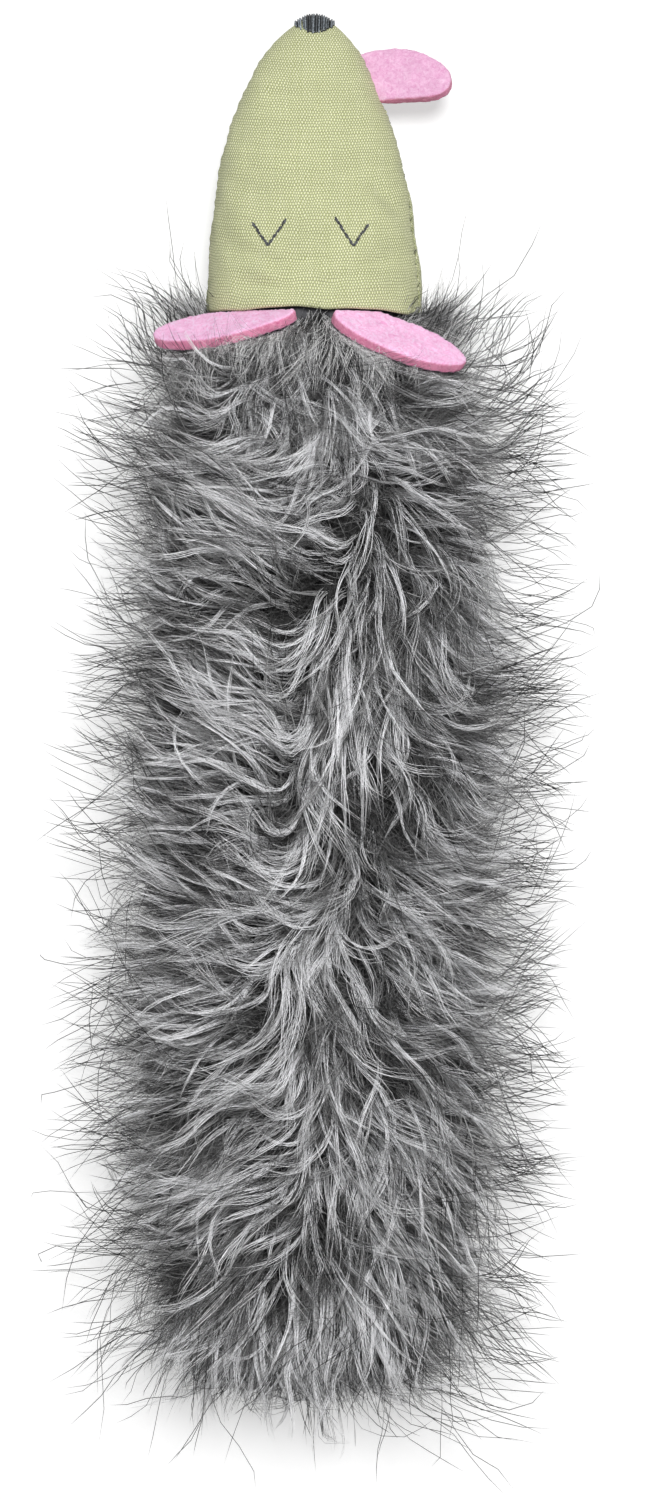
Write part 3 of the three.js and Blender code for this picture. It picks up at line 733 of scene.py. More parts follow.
under_fur = fur_material(
    "under_fur", [(0.0, 0.015), (0.4, 0.1), (1.0, 0.5)], [(0, 0.08), (1, 1.0)], 0.6,
)
dark_fur = fur_material(
    "dark_fur",
    [(0.0, 0.012), (0.3, 0.08), (0.6, 0.45), (0.85, 0.3), (1.0, 0.02)],
    [(0, 0.04), (0.5, 0.25), (1, 1.0)],
    0.4,
)
silver_fur = fur_material(
    "silver_fur",
    [(0.0, 0.02), (0.18, 0.3), (0.38, (0.97, 0.97, 1.0)), (0.88, (0.98, 0.98, 1.0)), (1.0, 0.7)],
    [(0, 0.02), (0.22, 0.25), (0.36, 1.0)],
    0.28, specular=1.0, sheen=0.8,
)
neck_silver_fur = fur_material(
    "neck_silver_fur",
    [(0.0, 0.35), (0.1, 0.85), (0.9, 0.95), (1.0, 0.6)],
    [(0, 0.04), (0.3, 0.35), (0.5, 1.0)],
    0.33, specular=1.0, sheen=0.5,
)
guard_fur = fur_material(
    "guard_fur",
    [(0.0, 0.1), (0.3, 0.6), (0.5, 0.5), (0.64, 0.015), (1.0, 0.002)],
    [(0, 0.4), (1, 1.0)],
    0.5,
)

TAIL_END_Y = -148  # from here to the tail the fur is as dense all round
BEHIND_EARS_Y = 74  # and from here to the nose it is denser


def upper_weight(y, angle):
    aside = 1 + 1.3 * np.cos(angle) ** 2
    around = np.where((np.sin(angle) > -0.45) | (y < TAIL_END_Y), aside, 0.3)
    return around * np.where(y > BEHIND_EARS_Y, 1.9, 1.0)


def top_weight(y, angle):
    around = np.where(y < TAIL_END_Y, 1.4, np.clip(np.sin(angle) + 0.75, 0.3, 1.0))
    return around * np.where(y > BEHIND_EARS_Y, 1.3, 1.0)


def edge_weight(y, angle):
    around = np.where(np.abs(np.cos(angle)) > 0.6, 1.0, 0.25) * (np.sin(angle) > -0.4)
    return around * np.where(y > BEHIND_EARS_Y - 4, 3.0, 1.0)


def patches(roots):
    """Broad lighter and darker places of the fur, between about -1 and 1."""
    return slow_noise(roots, 77, 34)


def grow_guides(roots, steps, length, turn, bend, lift, droop, margin, hang, wave, wave_turns):
    """Guides for locks, with values from the ranges. With no hang they stand out at the sides."""
    count = len(roots)
    guides = grow_paths(
        roots, spread_out(*length, count), steps, rng.normal(0, turn, count), rng.normal(0, bend, count),
        (lift[0], spread_out(*lift[1:], count)), spread_out(*droop, count), margin,
        spread_out(*hang, count)[:, None] if hang else 0.0,
    )
    return add_waves(guides, spread_out(*wave, count), spread_out(*wave_turns, count))


def grow_wool():
    """Short wool that fills the gaps between the locks."""
    roots = skin_roots(6600, upper_weight)
    count = len(roots)
    guides = grow_paths(
        roots, spread_out(11, 21, count), 5, turn=rng.normal(0, 60, count), bend=rng.normal(0, 60, count),
        lift=(75, spread_out(10, 60, count)), droop=0.1, margin=0.02,
    )
    paths = tuft(guides, 6, spread=1.5, clump=0.1, frizz=1.6, shorten=0.6, steps=5, margin=0.01)
    paths = trimmed(paths, falling_off(28, 4.5, len(paths)), falling_off(156, 4, len(paths)))
    radii = taper(paths, (0.035, 0.065))
    in_pieces("wool", paths, radii, rng.random(len(paths)), under_fur, 7000, ["plush_belly_panel"])


def grow_charcoal_locks():
    """Loose dark locks."""
    roots = skin_roots(4800, upper_weight)
    count, each = len(roots), 8
    guides = grow_guides(
        roots, 8, length=(22, 40), turn=32, bend=30, lift=(68, 0, 42), droop=(0.1, 0.35), margin=0.06,
        hang=(0.3, 1.0), wave=(0.3, 1.6), wave_turns=(0.6, 1.6),
    )
    clump, frizz = spread_out(0.1, 0.9, count), spread_out(0.4, 1.2, count)
    paths = tuft(guides, each, 1.3, clump, frizz, shorten=0.6, steps=7, margin=0.02)
    paths = trimmed(paths, lock_limits(28, 8, count, each), lock_limits(154, 5, count, each))
    tone = rng.random(count) + 0.2 * patches(roots)
    tones = np.clip(0.6 * np.repeat(tone, each) + 0.5 * rng.random(len(paths)), 0, 1)
    radii = taper(paths, (0.05, 0.085))
    replaced = ["plush_top_panel", "plush_belly_panel"]
    in_pieces("charcoal_locks", paths, radii, tones, dark_fur, 4000, replaced)


def grow_silver_locks():
    """Tight silver locks that lie on top."""
    roots = skin_roots(5500, top_weight)
    roots = roots[rng.random(len(roots)) < 0.8 + 0.35 * patches(roots)]
    count, each = len(roots), 9
    guides = grow_guides(
        roots, 10, length=(18, 40), turn=15, bend=30, lift=(72, -10, 26), droop=(0.1, 0.45), margin=0.12,
        hang=(0.2, 1.0), wave=(0.3, 2.0), wave_turns=(0.6, 1.6),
    )
    clump = spread_out(0.45, 0.97, count)
    paths = tuft(guides, each, 0.65, clump, 0.08 + 0.8 * (1 - clump), shorten=0.65, steps=9, margin=0.05)
    paths = trimmed(paths, lock_limits(30, 9, count, each), lock_limits(155, 5.5, count, each))
    tone = 0.05 + 0.85 * rng.random(count) + 0.15 * patches(roots)
    tones = np.clip(np.repeat(tone, each) + rng.normal(0, 0.14, len(paths)), 0, 1)
    radii = taper(paths, (0.06, 0.105))
    in_pieces("silver_locks", paths, radii, tones, silver_fur, 4000, ["plush_top_panel"])


def grow_guard_hairs():
    """Straight black-tipped hairs, two together. They reach farther on the right."""
    roots = skin_roots(1250, edge_weight)
    count = len(roots)
    guides = grow_guides(
        roots, 8, length=(38, 66), turn=32, bend=20, lift=(38, -4, 26), droop=(0.0, 0.3), margin=0.06,
        hang=None, wave=(0.0, 0.8), wave_turns=(0.4, 0.8),
    )
    clump, spread, frizz = (spread_out(*r, count) for r in ((0.2, 0.8), (1.5, 4.0), (0.4, 1.4)))
    paths = tuft(guides, 2, spread, clump, frizz, shorten=0.6, steps=7, margin=0.03)
    farther = 4 * np.sign(paths[:, 0, 0])
    paths = trimmed(paths, falling_off(49, 12, len(paths)) + farther, falling_off(158, 8, len(paths)))
    radii = taper(paths, (0.09, 0.14), 0.65)
    in_pieces("guard_hairs", paths, radii, rng.random(len(paths)), guard_fur, 5000, ["plush_top_panel"])


grow_wool()
grow_charcoal_locks()
grow_silver_locks()
grow_guard_hairs()


# Skin under the fur
def make_skin():
    backing = grainy_material("plush_backing", [(0.35, 0.012), (0.65, 0.05)], (0.6, 0.4), 900.0, 3.0)
    y = np.linspace(SKIN_FRONT[1] - 0.1, SKIN_END[1] + 0.1, 120)
    angle = np.linspace(-math.pi, math.pi, 96, endpoint=False)
    rings = skin_points(*(g.ravel() for g in np.meshgrid(y, angle, indexing="ij")))
    rings[:, 2] = np.maximum(rings[:, 2], FLOOR_CLEARANCE)
    rings = rings.reshape(len(y), len(angle), 3)
    skin = loft("plush_skin", rings, SKIN_FRONT, SKIN_END, backing)
    ride_as(skin, "plush", "grey_plush", "plush_top_panel", "plush_belly_panel")


make_skin()


# Head cover: two canvas panels, sewn together along the sides and turned in at the hem
HEM_ARCH = 0.35  # how far the hem bows towards the nose on top
HEM_SLANT = 0.4
HEM_TURN = 0.8  # radius that the hem is turned with
HEM_DEPTH = 5.0
HEM_NARROWING = 0.04  # inside the head, for each millimetre
TIP_SHARE = 0.06  # of the head behind its tip, where the cloth lies plain
SEAM_CLIMB = math.radians(13)  # of the right seam towards the hem
SEAM_DEPTH = 0.75
SEAM_WIDTH = 0.6
SEAM_PITCH = 2.7  # of its stitches and puckers
PUCKER_HEIGHT = 0.16
PUCKER_REACH = 2.2
LEFT_FULLNESS = 1.5  # how far the left cheek stands out
QUARTER = 56  # columns in a quarter of the head
COVER_ROWS = 160
WARP_PITCH = 0.34
WEFT_PITCH = 0.7
WEFT_SAG = 0.0037  # how the rows of the weave bend towards the seams
# Soft creases on top of the head: from (x, y) to (x, y), and their depth
CREASES = [
    ((-9, 108.0), (6, 109.5), 0.9),
    ((-22, 114), (-5, 105.5), 0.7),
    ((6, 105), (22, 111.5), 0.7),
    ((-17, 103.5), (-7, 101.5), 0.9),
    ((-1, 102.5), (8, 103.5), 0.5),
    ((12, 130), (23.5, 119), 0.6),
    ((-22, 131), (-12, 124), 0.45),
]
CREASE_WIDTH = 1.9


def right_seam(share):
    return SEAM_CLIMB * smooth_step((share - 0.35) / 0.4)


def quarter_points(share, start, end):
    """Points and lengths of cloth from a middle line to a seam, evenly spaced in each row."""
    fine = np.linspace(0, 1, 400)[None]
    rows = head_points(share[:, None], start + (end[:, None] - start) * fine)
    steps = np.linalg.norm(np.diff(rows, axis=1), axis=-1)
    along = np.concatenate([np.zeros((len(share), 1)), np.cumsum(steps, 1)], 1)
    wanted = along[:, -1:] * np.linspace(0, 1, QUARTER + 1)
    points = np.empty((len(share), QUARTER + 1, 3))
    for row in range(len(share)):
        for axis in range(3):
            points[row, :, axis] = np.interp(wanted[row], along[row], rows[row, :, axis])
    return points, wanted


def crease_depth(points):
    """How far the creases press the cloth in."""
    total = np.zeros(points.shape[:-1])
    for start, end, depth in CREASES:
        start, end = np.array(start, float), np.array(end, float)
        way = end - start
        offset = points[..., :2] - start
        share = np.clip(offset @ way / (way @ way), 0, 1)
        away = np.linalg.norm(offset - share[..., None] * way, axis=-1)
        fade = np.sin(math.pi * np.clip(share, 0.1, 0.9))
        swollen_edge = 0.35 * np.exp(-((away / 5 - 0.8) ** 2) * 4)
        total += depth * fade * (np.exp(-((away / CREASE_WIDTH) ** 2)) - swollen_edge)
    return total * (points[..., 2] > HEM_SEAM_HEIGHT)


def cover_push(points):
    """How far the cloth stands out from the plain form of the head."""
    share = behind_tip(points[..., 1])
    push = 0.32 * lumps(points, 21, 19) + 0.1 * lumps(points, 22, 7) - crease_depth(points)
    leftness = np.clip(-points[..., 0] / head_section(share)[0], 0, 1)
    push = push + LEFT_FULLNESS * leftness**2 * smooth_step(share / 0.2) * smooth_step((0.95 - share) / 0.5)
    return push * smooth_step(share / TIP_SHARE) - 0.1


def canvas_material():
    material, tree, shader = new_material("green_canvas", 0.9, specular=0.2, sheen=0.1)
    place = map_place(tree, WEAVE_MAP)
    wobble = add_node(tree, "ShaderNodeTexNoise", {"Vector": place, "Scale": 0.35, "Detail": 2.0})
    inputs = {0: wobble.outputs["Color"], "Scale": 0.9}
    warped = add_node(tree, "ShaderNodeVectorMath", inputs, operation="SCALE").outputs[0]
    moved = add_node(tree, "ShaderNodeVectorMath", {0: place, 1: warped}, operation="ADD").outputs[0]
    parts = in_parts(tree, moved)
    crossing_threads = [
        math_node(tree, "SINE", math_node(tree, "MULTIPLY", parts[axis], math.pi / pitch))
        for axis, pitch in (("X", WARP_PITCH), ("Y", WEFT_PITCH))
    ]
    weave = math_node(tree, "MULTIPLY", *crossing_threads)
    height = math_node(tree, "POWER", math_node(tree, "ABSOLUTE", weave), 0.6)

    def threads(stretch):
        way = add_node(tree, "ShaderNodeMapping", {"Vector": moved, "Scale": stretch}).outputs[0]
        return noise_node(tree, way, 1.0, 2.0)

    warp, weft = threads((2.0, 0.09, 1.0)), threads((0.09, 2.0, 1.0))
    upper = math_node(tree, "GREATER_THAN", weave, 0.0)
    # The same green yarn is painted lighter where the warp is on top, as lit thread crowns, and darker where
    # the weft is, as painted shade in the grooves; the streaks within each are the yarn's own tone
    lit_warp_colour = ramp_node(tree, warp, [(0.3, (0.77, 0.79, 0.50)), (0.7, (0.87, 0.88, 0.60))])
    shaded_weft_colour = ramp_node(tree, weft, [(0.3, (0.40, 0.43, 0.19)), (0.7, (0.52, 0.55, 0.27))])
    yarn = mix_node(tree, upper, shaded_weft_colour, lit_warp_colour)
    # Painted shade: the colour falls to 0.35 of the yarn's where the weave's relief is lowest, between the
    # threads
    cloth = product(tree, yarn, ramp_node(tree, height, [(0.0, 0.35), (0.7, 1.0)]))
    worn = ramp_node(tree, noise_node(tree, place, 0.09, 3.0), [(0.3, 0.92), (0.7, 1.0)])
    set_colour(tree, shader, product(tree, cloth, worn))
    relief = math_node(tree, "ADD", height, math_node(tree, "MULTIPLY", warp, 0.3))
    set_bump(tree, shader, relief, 0.5, 0.12)
    return material


def turned_hem(edge, outward):
    """Rings of cloth from the edge round the turn and up inside the head."""
    back = np.array([0, -1, 0])
    rings = []
    for turn in np.linspace(0, math.pi, 7)[1:]:
        rings.append(edge + HEM_TURN * ((np.cos(turn) - 1) * outward + np.sin(turn) * back))
    inner = rings[-1]
    for depth in (2.0, HEM_DEPTH):
        rings.append(inner - depth * back - HEM_NARROWING * depth * outward)
    return np.array(rings)


def cover_rows(share):
    """Rows of points from the right seam over the top to the left seam and back under the head, and with
    them the cloth from the middle line to the near and far side of each column, and from the seam."""
    right, left = right_seam(share), np.full(len(share), math.pi)
    quarters = [
        (1, True, math.pi / 2, right),
        (-1, False, math.pi / 2, left),
        (-1, True, 3 * math.pi / 2, left),
        (1, False, 3 * math.pi / 2, right + FULL_TURN),
    ]
    points, near, far, from_seam = [], [], [], []
    for sign, backwards, start, end in quarters:
        place, length = quarter_points(share, start, end)
        turn = slice(None, None, -1) if backwards else slice(None)
        points.append(place[:, turn][:, :-1])
        near.append(sign * length[:, turn][:, :-1])
        far.append(sign * length[:, turn][:, 1:])
        from_seam.append((length[:, -1:] - length)[:, turn][:, :-1])
    return [np.concatenate(blocks, 1) for blocks in (points, near, far, from_seam)]


def sewn(outer, share, normals, from_seam):
    """The rows pushed out by the filling, drawn in and puckered at the seams, and bowed at the hem."""
    groove = SEAM_DEPTH * np.exp(-((from_seam / SEAM_WIDTH) ** 2))
    pucker = PUCKER_HEIGHT * np.cos(FULL_TURN * outer[..., 1] / SEAM_PITCH + 1.5 * lumps(outer, 8, 9))
    pucker = pucker * np.exp(-((from_seam / PUCKER_REACH) ** 2)) * smooth_step(share / 0.2)
    push = cover_push(outer) - (groove - pucker) * smooth_step(share / TIP_SHARE)
    outer = outer + normals * push[..., None]
    outer[..., 2] = np.maximum(outer[..., 2], FLOOR_CLEARANCE)
    across = outer[..., 0] / HEM_HALF_WIDTH
    bow = HEM_ARCH * (1 - across**2) * (outer[..., 2] > HEM_SEAM_HEIGHT) - HEM_SLANT * across
    outer[..., 1] += smooth_step((share - 0.75) / 0.25) * (bow + 0.25 * lumps(outer, 31, 11))
    return outer


def map_cover(cover, rings, near, far):
    """A map for the bake, and one in millimetres of cloth for the weave."""
    along = np.cumsum(np.linalg.norm(np.diff(rings, axis=0, prepend=rings[:1]), axis=-1).mean(1))[:, None]
    columns = np.arange(4 * QUARTER)[None] + np.zeros((len(rings), 1))
    level = np.broadcast_to(along / along[-1], columns.shape)
    bake_places = corner_values(columns, columns + 1) / (4 * QUARTER), corner_values(level, level)
    add_map(cover, BAKE_MAP, np.stack(bake_places, -1))
    rows = corner_values(along + WEFT_SAG * near**2, along + WEFT_SAG * far**2)
    add_map(cover, WEAVE_MAP, np.stack([corner_values(near, far), rows], -1))


def make_head_cover():
    share = np.clip(np.linspace(0, 1, COVER_ROWS) ** 1.5, 0.0004, 1)
    plain, near, far, from_seam = cover_rows(share)
    normals = head_normals(plain.reshape(-1, 3)).reshape(plain.shape)
    outer = sewn(plain, share[:, None], normals, from_seam)
    hem = turned_hem(outer[-1], unit(normals[-1] * (1, 0, 1)))
    rings = np.concatenate([outer, hem])
    near, far = (np.concatenate([side, np.repeat(side[-1:], len(hem), 0)]) for side in (near, far))
    first = np.array([0, TIP_Y, HEM_SEAM_HEIGHT * NOSE_SEAM_SHARE])
    last = np.array([0, HEM_Y + HEM_DEPTH, HEM_SEAM_HEIGHT])
    cover = loft("head_cover", rings, first, last, canvas_material())
    map_cover(cover, rings, near, far)
    ride_as(cover, "head", "green_canvas", "head_top_panel", "head_under_panel")


make_head_cover()


# Filling of the head, which ends inside the hem
FILL_SHARE = 0.93


def make_head_fill():
    share = np.linspace(0.02, 0.9, 50)[:, None]
    rings = head_points(share, np.linspace(0, FULL_TURN, 72, endpoint=False)[None])
    middle = np.stack(np.broadcast_arrays(0 * rings[..., 0], rings[..., 1], head_section(share)[3]), -1)
    tufts = FILL_SHARE - 0.02 * (1 + lumps(rings, 51, 9))
    rings = middle + (rings - middle) * tufts[..., None]
    ends = middle[0, 0] + (0, 0.5, 0), middle[-1, 0] - (0, 1, 0)
    stops = [(0.3, (0.66, 0.64, 0.6)), (0.7, (0.86, 0.85, 0.82))]
    stuffing = grainy_material("fibre_stuffing", stops, (0.8, 1.0), 300.0, 6.0, sheen=0.4, Distortion=3.0)
    fill = loft("head_fill", rings, *ends, stuffing)
    ride_as(fill, "head", "fibre_stuffing", "head_stuffing")


make_head_fill()


# Stitches
THREAD_STEPS = 14


def thread_material(name, dark, light, roughness=0.45, sheen=0.3):
    """Spun thread: fine streaks of darker and lighter fibres, the lighter ones partly painted glints."""
    material, tree, shader = new_material(name, roughness, specular=0.5, sheen=sheen)
    fibres = noise_node(tree, object_place(tree), 2600.0, 3.0, Roughness=0.7)
    colour = ramp_node(tree, fibres, [(0.35, dark), (0.65, light)])
    tone = ramp_node(tree, in_parts(tree, map_place(tree, BAKE_MAP))["Y"], [(0.0, 0.04), (1.0, 1.0)])
    set_colour(tree, shader, product(tree, colour, tone))
    set_bump(tree, shader, fibres, 0.5, 0.08)
    return material


def plied(paths, reach, turns, plies=2):
    """Each path as plies that wind round one another."""
    share = np.linspace(0, 1, paths.shape[1])[None, :, None]
    across, over = cross_ways(paths)
    start = rng.uniform(0, FULL_TURN, (len(paths), 1, 1))
    made = []
    for ply in range(plies):
        turn = start + FULL_TURN * (turns * share + ply / plies)
        made.append(paths + reach * (np.cos(turn) * across + np.sin(turn) * over))
    return np.concatenate(made)


def sew(name, paths, radius, thread, slot, replaced, tones=None, sides=8):
    """Threads of the head along paths."""
    radii = np.broadcast_to(radius, paths.shape[:2])
    tones = rng.random(len(paths)) if tones is None else tones
    ride_as(strand_mesh(name, paths, radii, tones, thread, sides), "head", slot, replaced)


# Eyes: the ends and the point of each V, as (x, y)
EYES = {
    "left": [(-14.9, 118.2), (-11.1, 112.5), (-6.8, 119.0)],
    "right": [(4.9, 119.2), (9.3, 112.3), (12.9, 117.8)],
}
EYE_STITCHES = 4
EYE_THREAD_RADIUS = 0.22


def make_eyes():
    thread = thread_material("eye_thread", (0.003, 0.004, 0.005), (0.12, 0.13, 0.14))
    share = np.linspace(0.03, 0.97, THREAD_STEPS)[:, None]
    bulge = 0.8 * np.sin(math.pi * share[:, 0]) ** 0.6 - 0.5
    for side, (first, point, last) in EYES.items():
        paths = []
        for start, end in ((first, point), (point, last)):
            ends = np.linspace(start, end, EYE_STITCHES + 1)
            ends[1:-1] += rng.normal(0, 0.1, (EYE_STITCHES - 1, 2))
            for near, far in zip(ends[:-1], ends[1:]):
                flat = near + (far - near) * share
                path = head_surface(flat[:, 0], flat[:, 1])
                path[:, 2] += cover_push(path) + bulge
                paths.append(path)
        paths = plied(np.array(paths), 0.17, 0.8)
        replaced = f"{side}_eye_embroidery"
        sew(f"{side}_eye_stitches", paths, EYE_THREAD_RADIUS, thread, "dark_thread", replaced)


# Nose: satin stitches side by side over the tip, in two layers
NOSE_THREADS = 27
NOSE_TOP_THREADS = 17
NOSE_HALF_WIDTH = 4.6
NOSE_END = 166.3
NOSE_MIDDLE = (160.0, 10.9)  # y and height that the threads are wound about
NOSE_THREAD_RADIUS = 0.25


def wound_over_tip(x, end):
    """A path round the nose tip from (x, end) on top to the same place below."""
    inside = np.array([x * 0.9, *NOSE_MIDDLE])
    ends = head_surface(x, end), head_surface(x, end + 0.4, upper=False)
    start, stop = (math.atan2(p[2] - inside[2], p[1] - inside[1]) for p in ends)
    turn = np.linspace(start, stop, THREAD_STEPS + 6)
    ways = np.stack([np.full(len(turn), x * 0.1), np.cos(turn) * 8, np.sin(turn) * 8], -1)
    low, high = np.zeros(len(turn)), np.full(len(turn), 2.5)
    # Each round halves the part of the way on which the head's surface lies
    for _ in range(24):
        middle = (low + high) / 2
        within = head_depth(inside + ways * middle[:, None]) < 1
        low, high = np.where(within, middle, low), np.where(within, high, middle)
    return inside + ways * low[:, None]


def make_nose():
    # The light colour stands partly for painted glints on the threads
    dark, light = (0.02, 0.024, 0.028), (0.5, 0.57, 0.63)
    thread = thread_material("nose_thread", dark, light, roughness=0.3, sheen=0.0)
    paths = []
    for layer, count in enumerate((NOSE_THREADS, NOSE_TOP_THREADS)):
        for x in np.linspace(-NOSE_HALF_WIDTH, NOSE_HALF_WIDTH, count) * (1 - 0.05 * layer):
            end = NOSE_END + 2.1 * abs(x / NOSE_HALF_WIDTH) ** 2.5 + rng.uniform(-0.45, 0.45)
            lean = rng.normal(0, 0.12)
            path = wound_over_tip(x, end)
            share = np.linspace(0, 1, len(path))
            rise = 0.12 + 0.32 * layer + 0.3 * np.clip(np.minimum(share, 1 - share) * 9, 0, 1) - 0.3
            path = path + head_normals(path) * rise[:, None]
            path[:, 0] += lean * (1 - share)
            paths.append(path)
    radii = NOSE_THREAD_RADIUS * rng.uniform(0.75, 1.0, (len(paths), 1))
    tones = rng.random(len(paths)) ** 1.5
    # The lower layer is painted darkest, as the shade between the threads of the top layer
    tones[:NOSE_THREADS] = 0.0
    sew("nose_threads", np.array(paths), radii, thread, "dark_thread", "nose_embroidery", tones)


# Seams of the head: thread that shows across the groove between the panels
SEAM_STITCH_REACH = 0.9
SEAM_THREAD_RADIUS = 0.13


def make_head_seams():
    thread = thread_material("seam_thread", (0.4, 0.44, 0.2), (0.66, 0.7, 0.36), roughness=0.6)
    share = np.arange(0.1, 0.98, SEAM_PITCH / (TIP_Y - HEM_Y))
    across = np.linspace(-1, 1, THREAD_STEPS)
    sink = SEAM_DEPTH * np.exp(-((across * SEAM_STITCH_REACH / SEAM_WIDTH) ** 2))
    ends = 0.35 * np.clip((np.abs(across) - 0.7) / 0.3, 0, 1)
    for side, angle in (("left", np.full(len(share), math.pi)), ("right", right_seam(share))):
        paths = []
        for here, middle in zip(share, angle):
            turn = middle + across * SEAM_STITCH_REACH / head_section(here)[0]
            path = head_points(here + 0.006 * across, turn)
            paths.append(path + head_normals(path) * (-0.75 * sink - ends)[:, None])
        paths = plied(np.array(paths), 0.09, 1.2)
        name, replaced = f"{side}_seam_stitches", f"{side}_head_seam_thread"
        sew(name, paths, SEAM_THREAD_RADIUS, thread, "green_thread", replaced, sides=6)


make_eyes()
make_nose()
make_head_seams()


# Felt pieces
FELT_GRAIN = 0.42  # size of the mesh's faces
# The tongue is sewn into the head's seam: the middle of its root, the way it hangs out, and how deep it
# goes in
TONGUE_ROOT = np.array([15.0555, 154.8783, 11.4245])
TONGUE_WAY = unit(felt_plate("tongue")[0] - TONGUE_ROOT)
ROOT_EXTRA = 3.5
FELT_STOPS = [(0.3, (0.68, 0.28, 0.50)), (0.5, (0.81, 0.45, 0.66)), (0.68, (0.90, 0.60, 0.78))]
# Darker, deeper pink painted on the plate's sides, where the felt was cut: painted shade of the edges, which
# face sideways out of the light
EDGE_SHADE_STOPS = [(0.3, (0.68, 0.16, 0.32)), (0.7, (0.90, 0.40, 0.56))]


def felt_material(name, lightness):
    material, tree, shader = new_material(name, 0.95, specular=0.15, sheen=0.12)
    place = object_place(tree)
    rim = add_node(tree, "ShaderNodeAttribute", attribute_name="rim").outputs["Fac"]
    fibres = noise_node(tree, place, 900.0, 5.0, Roughness=0.75, Distortion=1.2)
    clouds = noise_node(tree, place, 260.0, 4.0)
    stops = [(at, tuple(np.minimum(lightness * np.array(colour), 0.95))) for at, colour in FELT_STOPS]
    # rim, which is 1 on the plate's sides, picks the painted shade of the edge stops there
    both = mix_node(tree, rim, ramp_node(tree, fibres, stops), ramp_node(tree, fibres, EDGE_SHADE_STOPS))
    set_colour(tree, shader, product(tree, both, ramp_node(tree, clouds, [(0.3, 0.9), (0.65, 1.0)])))
    height = math_node(tree, "ADD", fibres, math_node(tree, "MULTIPLY", clouds, 1.5))
    set_bump(tree, shader, height, 0.6, 0.35)
    return material


def fine_mesh(node):
    """The CAD plate as a fine even mesh with softly rounded edges."""
    copy = bpy.data.objects.new(f"{node}_felt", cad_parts[node].data.copy())
    bpy.context.scene.collection.objects.link(copy)
    remesh = copy.modifiers.new("grain", "REMESH")
    remesh.mode = "VOXEL"
    remesh.voxel_size = FELT_GRAIN * MM
    rounding = copy.modifiers.new("rounding", "SMOOTH")
    rounding.factor = 0.5
    rounding.iterations = 5
    mesh = bpy.data.meshes.new_from_object(copy.evaluated_get(bpy.context.evaluated_depsgraph_get()))
    bpy.data.objects.remove(copy)
    return mesh


def make_felt(node, body, material):
    """The plate with slightly uneven sides, and the share of each point that lies on its cut edge."""
    mesh = fine_mesh(node)
    points = read_values(mesh.vertices, "co", 3) / MM
    normals = read_values(mesh.vertices, "normal", 3)
    plate = felt_plate(node)[1][2]
    rim = smooth_step((1 - np.abs(normals @ plate) - 0.25) / 0.5)
    if node == "tongue":
        depth = (TONGUE_ROOT - points) @ TONGUE_WAY
        points -= (ROOT_EXTRA * smooth_step(1 + depth / 5))[:, None] * TONGUE_WAY
    points += normals * (0.07 * lumps(points, 41, 3.1) + 0.05 * lumps(points, 42, 1.3) + 0.08)[:, None]
    points += plate * (0.25 * lumps(points, 43, 22))[:, None]
    sizes = read_values(mesh.polygons, "loop_total", kind=int)
    corners = read_values(mesh.loops, "vertex_index", kind=int)
    piece = make_piece(f"{node}_felt", points, corners, sizes, material)
    attribute = piece.data.attributes.new("rim", "FLOAT", "POINT")
    attribute.data.foreach_set("value", rim.astype(np.float32))
    ride_as(piece, body, "pink_felt", node)


# The ears' felt is the tongue's felt painted 1.2 times lighter: painted light on the ears
ear_felt = felt_material("ear_felt", 1.2)
make_felt("left_ear", "ear_left", ear_felt)
make_felt("right_ear", "ear_right", ear_felt)
make_felt("tongue", "tongue_flap", felt_material("tongue_felt", 1.0))


# Neck: the plush's end, gathered inside the hem. It is round about the line that the head nods on
NECK_HALF_WIDTH = 23.6
NECK_RADIUS = 14.0
NECK_Y = 96.35
PLEATS = 34
PLEAT_DEPTH = 0.035  # half of it, as a share of the neck's width


def make_neck():
    along = np.linspace(0, math.pi, 60)[1:-1, None]
    angle = np.linspace(-math.pi, math.pi, 240, endpoint=False)
    swell = np.sin(along)
    fold = 1 - PLEAT_DEPTH * (1 + np.cos(PLEATS * angle + 0.8 * np.sin(5 * angle)))[None] * swell
    x = NECK_HALF_WIDTH * swell * fold * np.cos(angle)
    z = HEM_SEAM_HEIGHT + NECK_RADIUS * swell * fold * np.sin(angle)
    rings = np.stack(np.broadcast_arrays(x, NECK_Y + NECK_RADIUS * np.cos(along), z), -1)
    first = np.array([0, NECK_Y + NECK_RADIUS, HEM_SEAM_HEIGHT])
    last = np.array([0, NECK_Y - NECK_RADIUS, HEM_SEAM_HEIGHT])
    # This name finds the plain material that came with the CAD model, not the one made for the skin
    neck = loft("neck_cloth", rings, first, last, bpy.data.materials["plush_backing"])
    ride_as(neck, "neck", "plush_backing", "neck_gather")


make_neck()

NECK_FUR_LIMITS = (60.0, 160.0)  # to the sides and to the tail


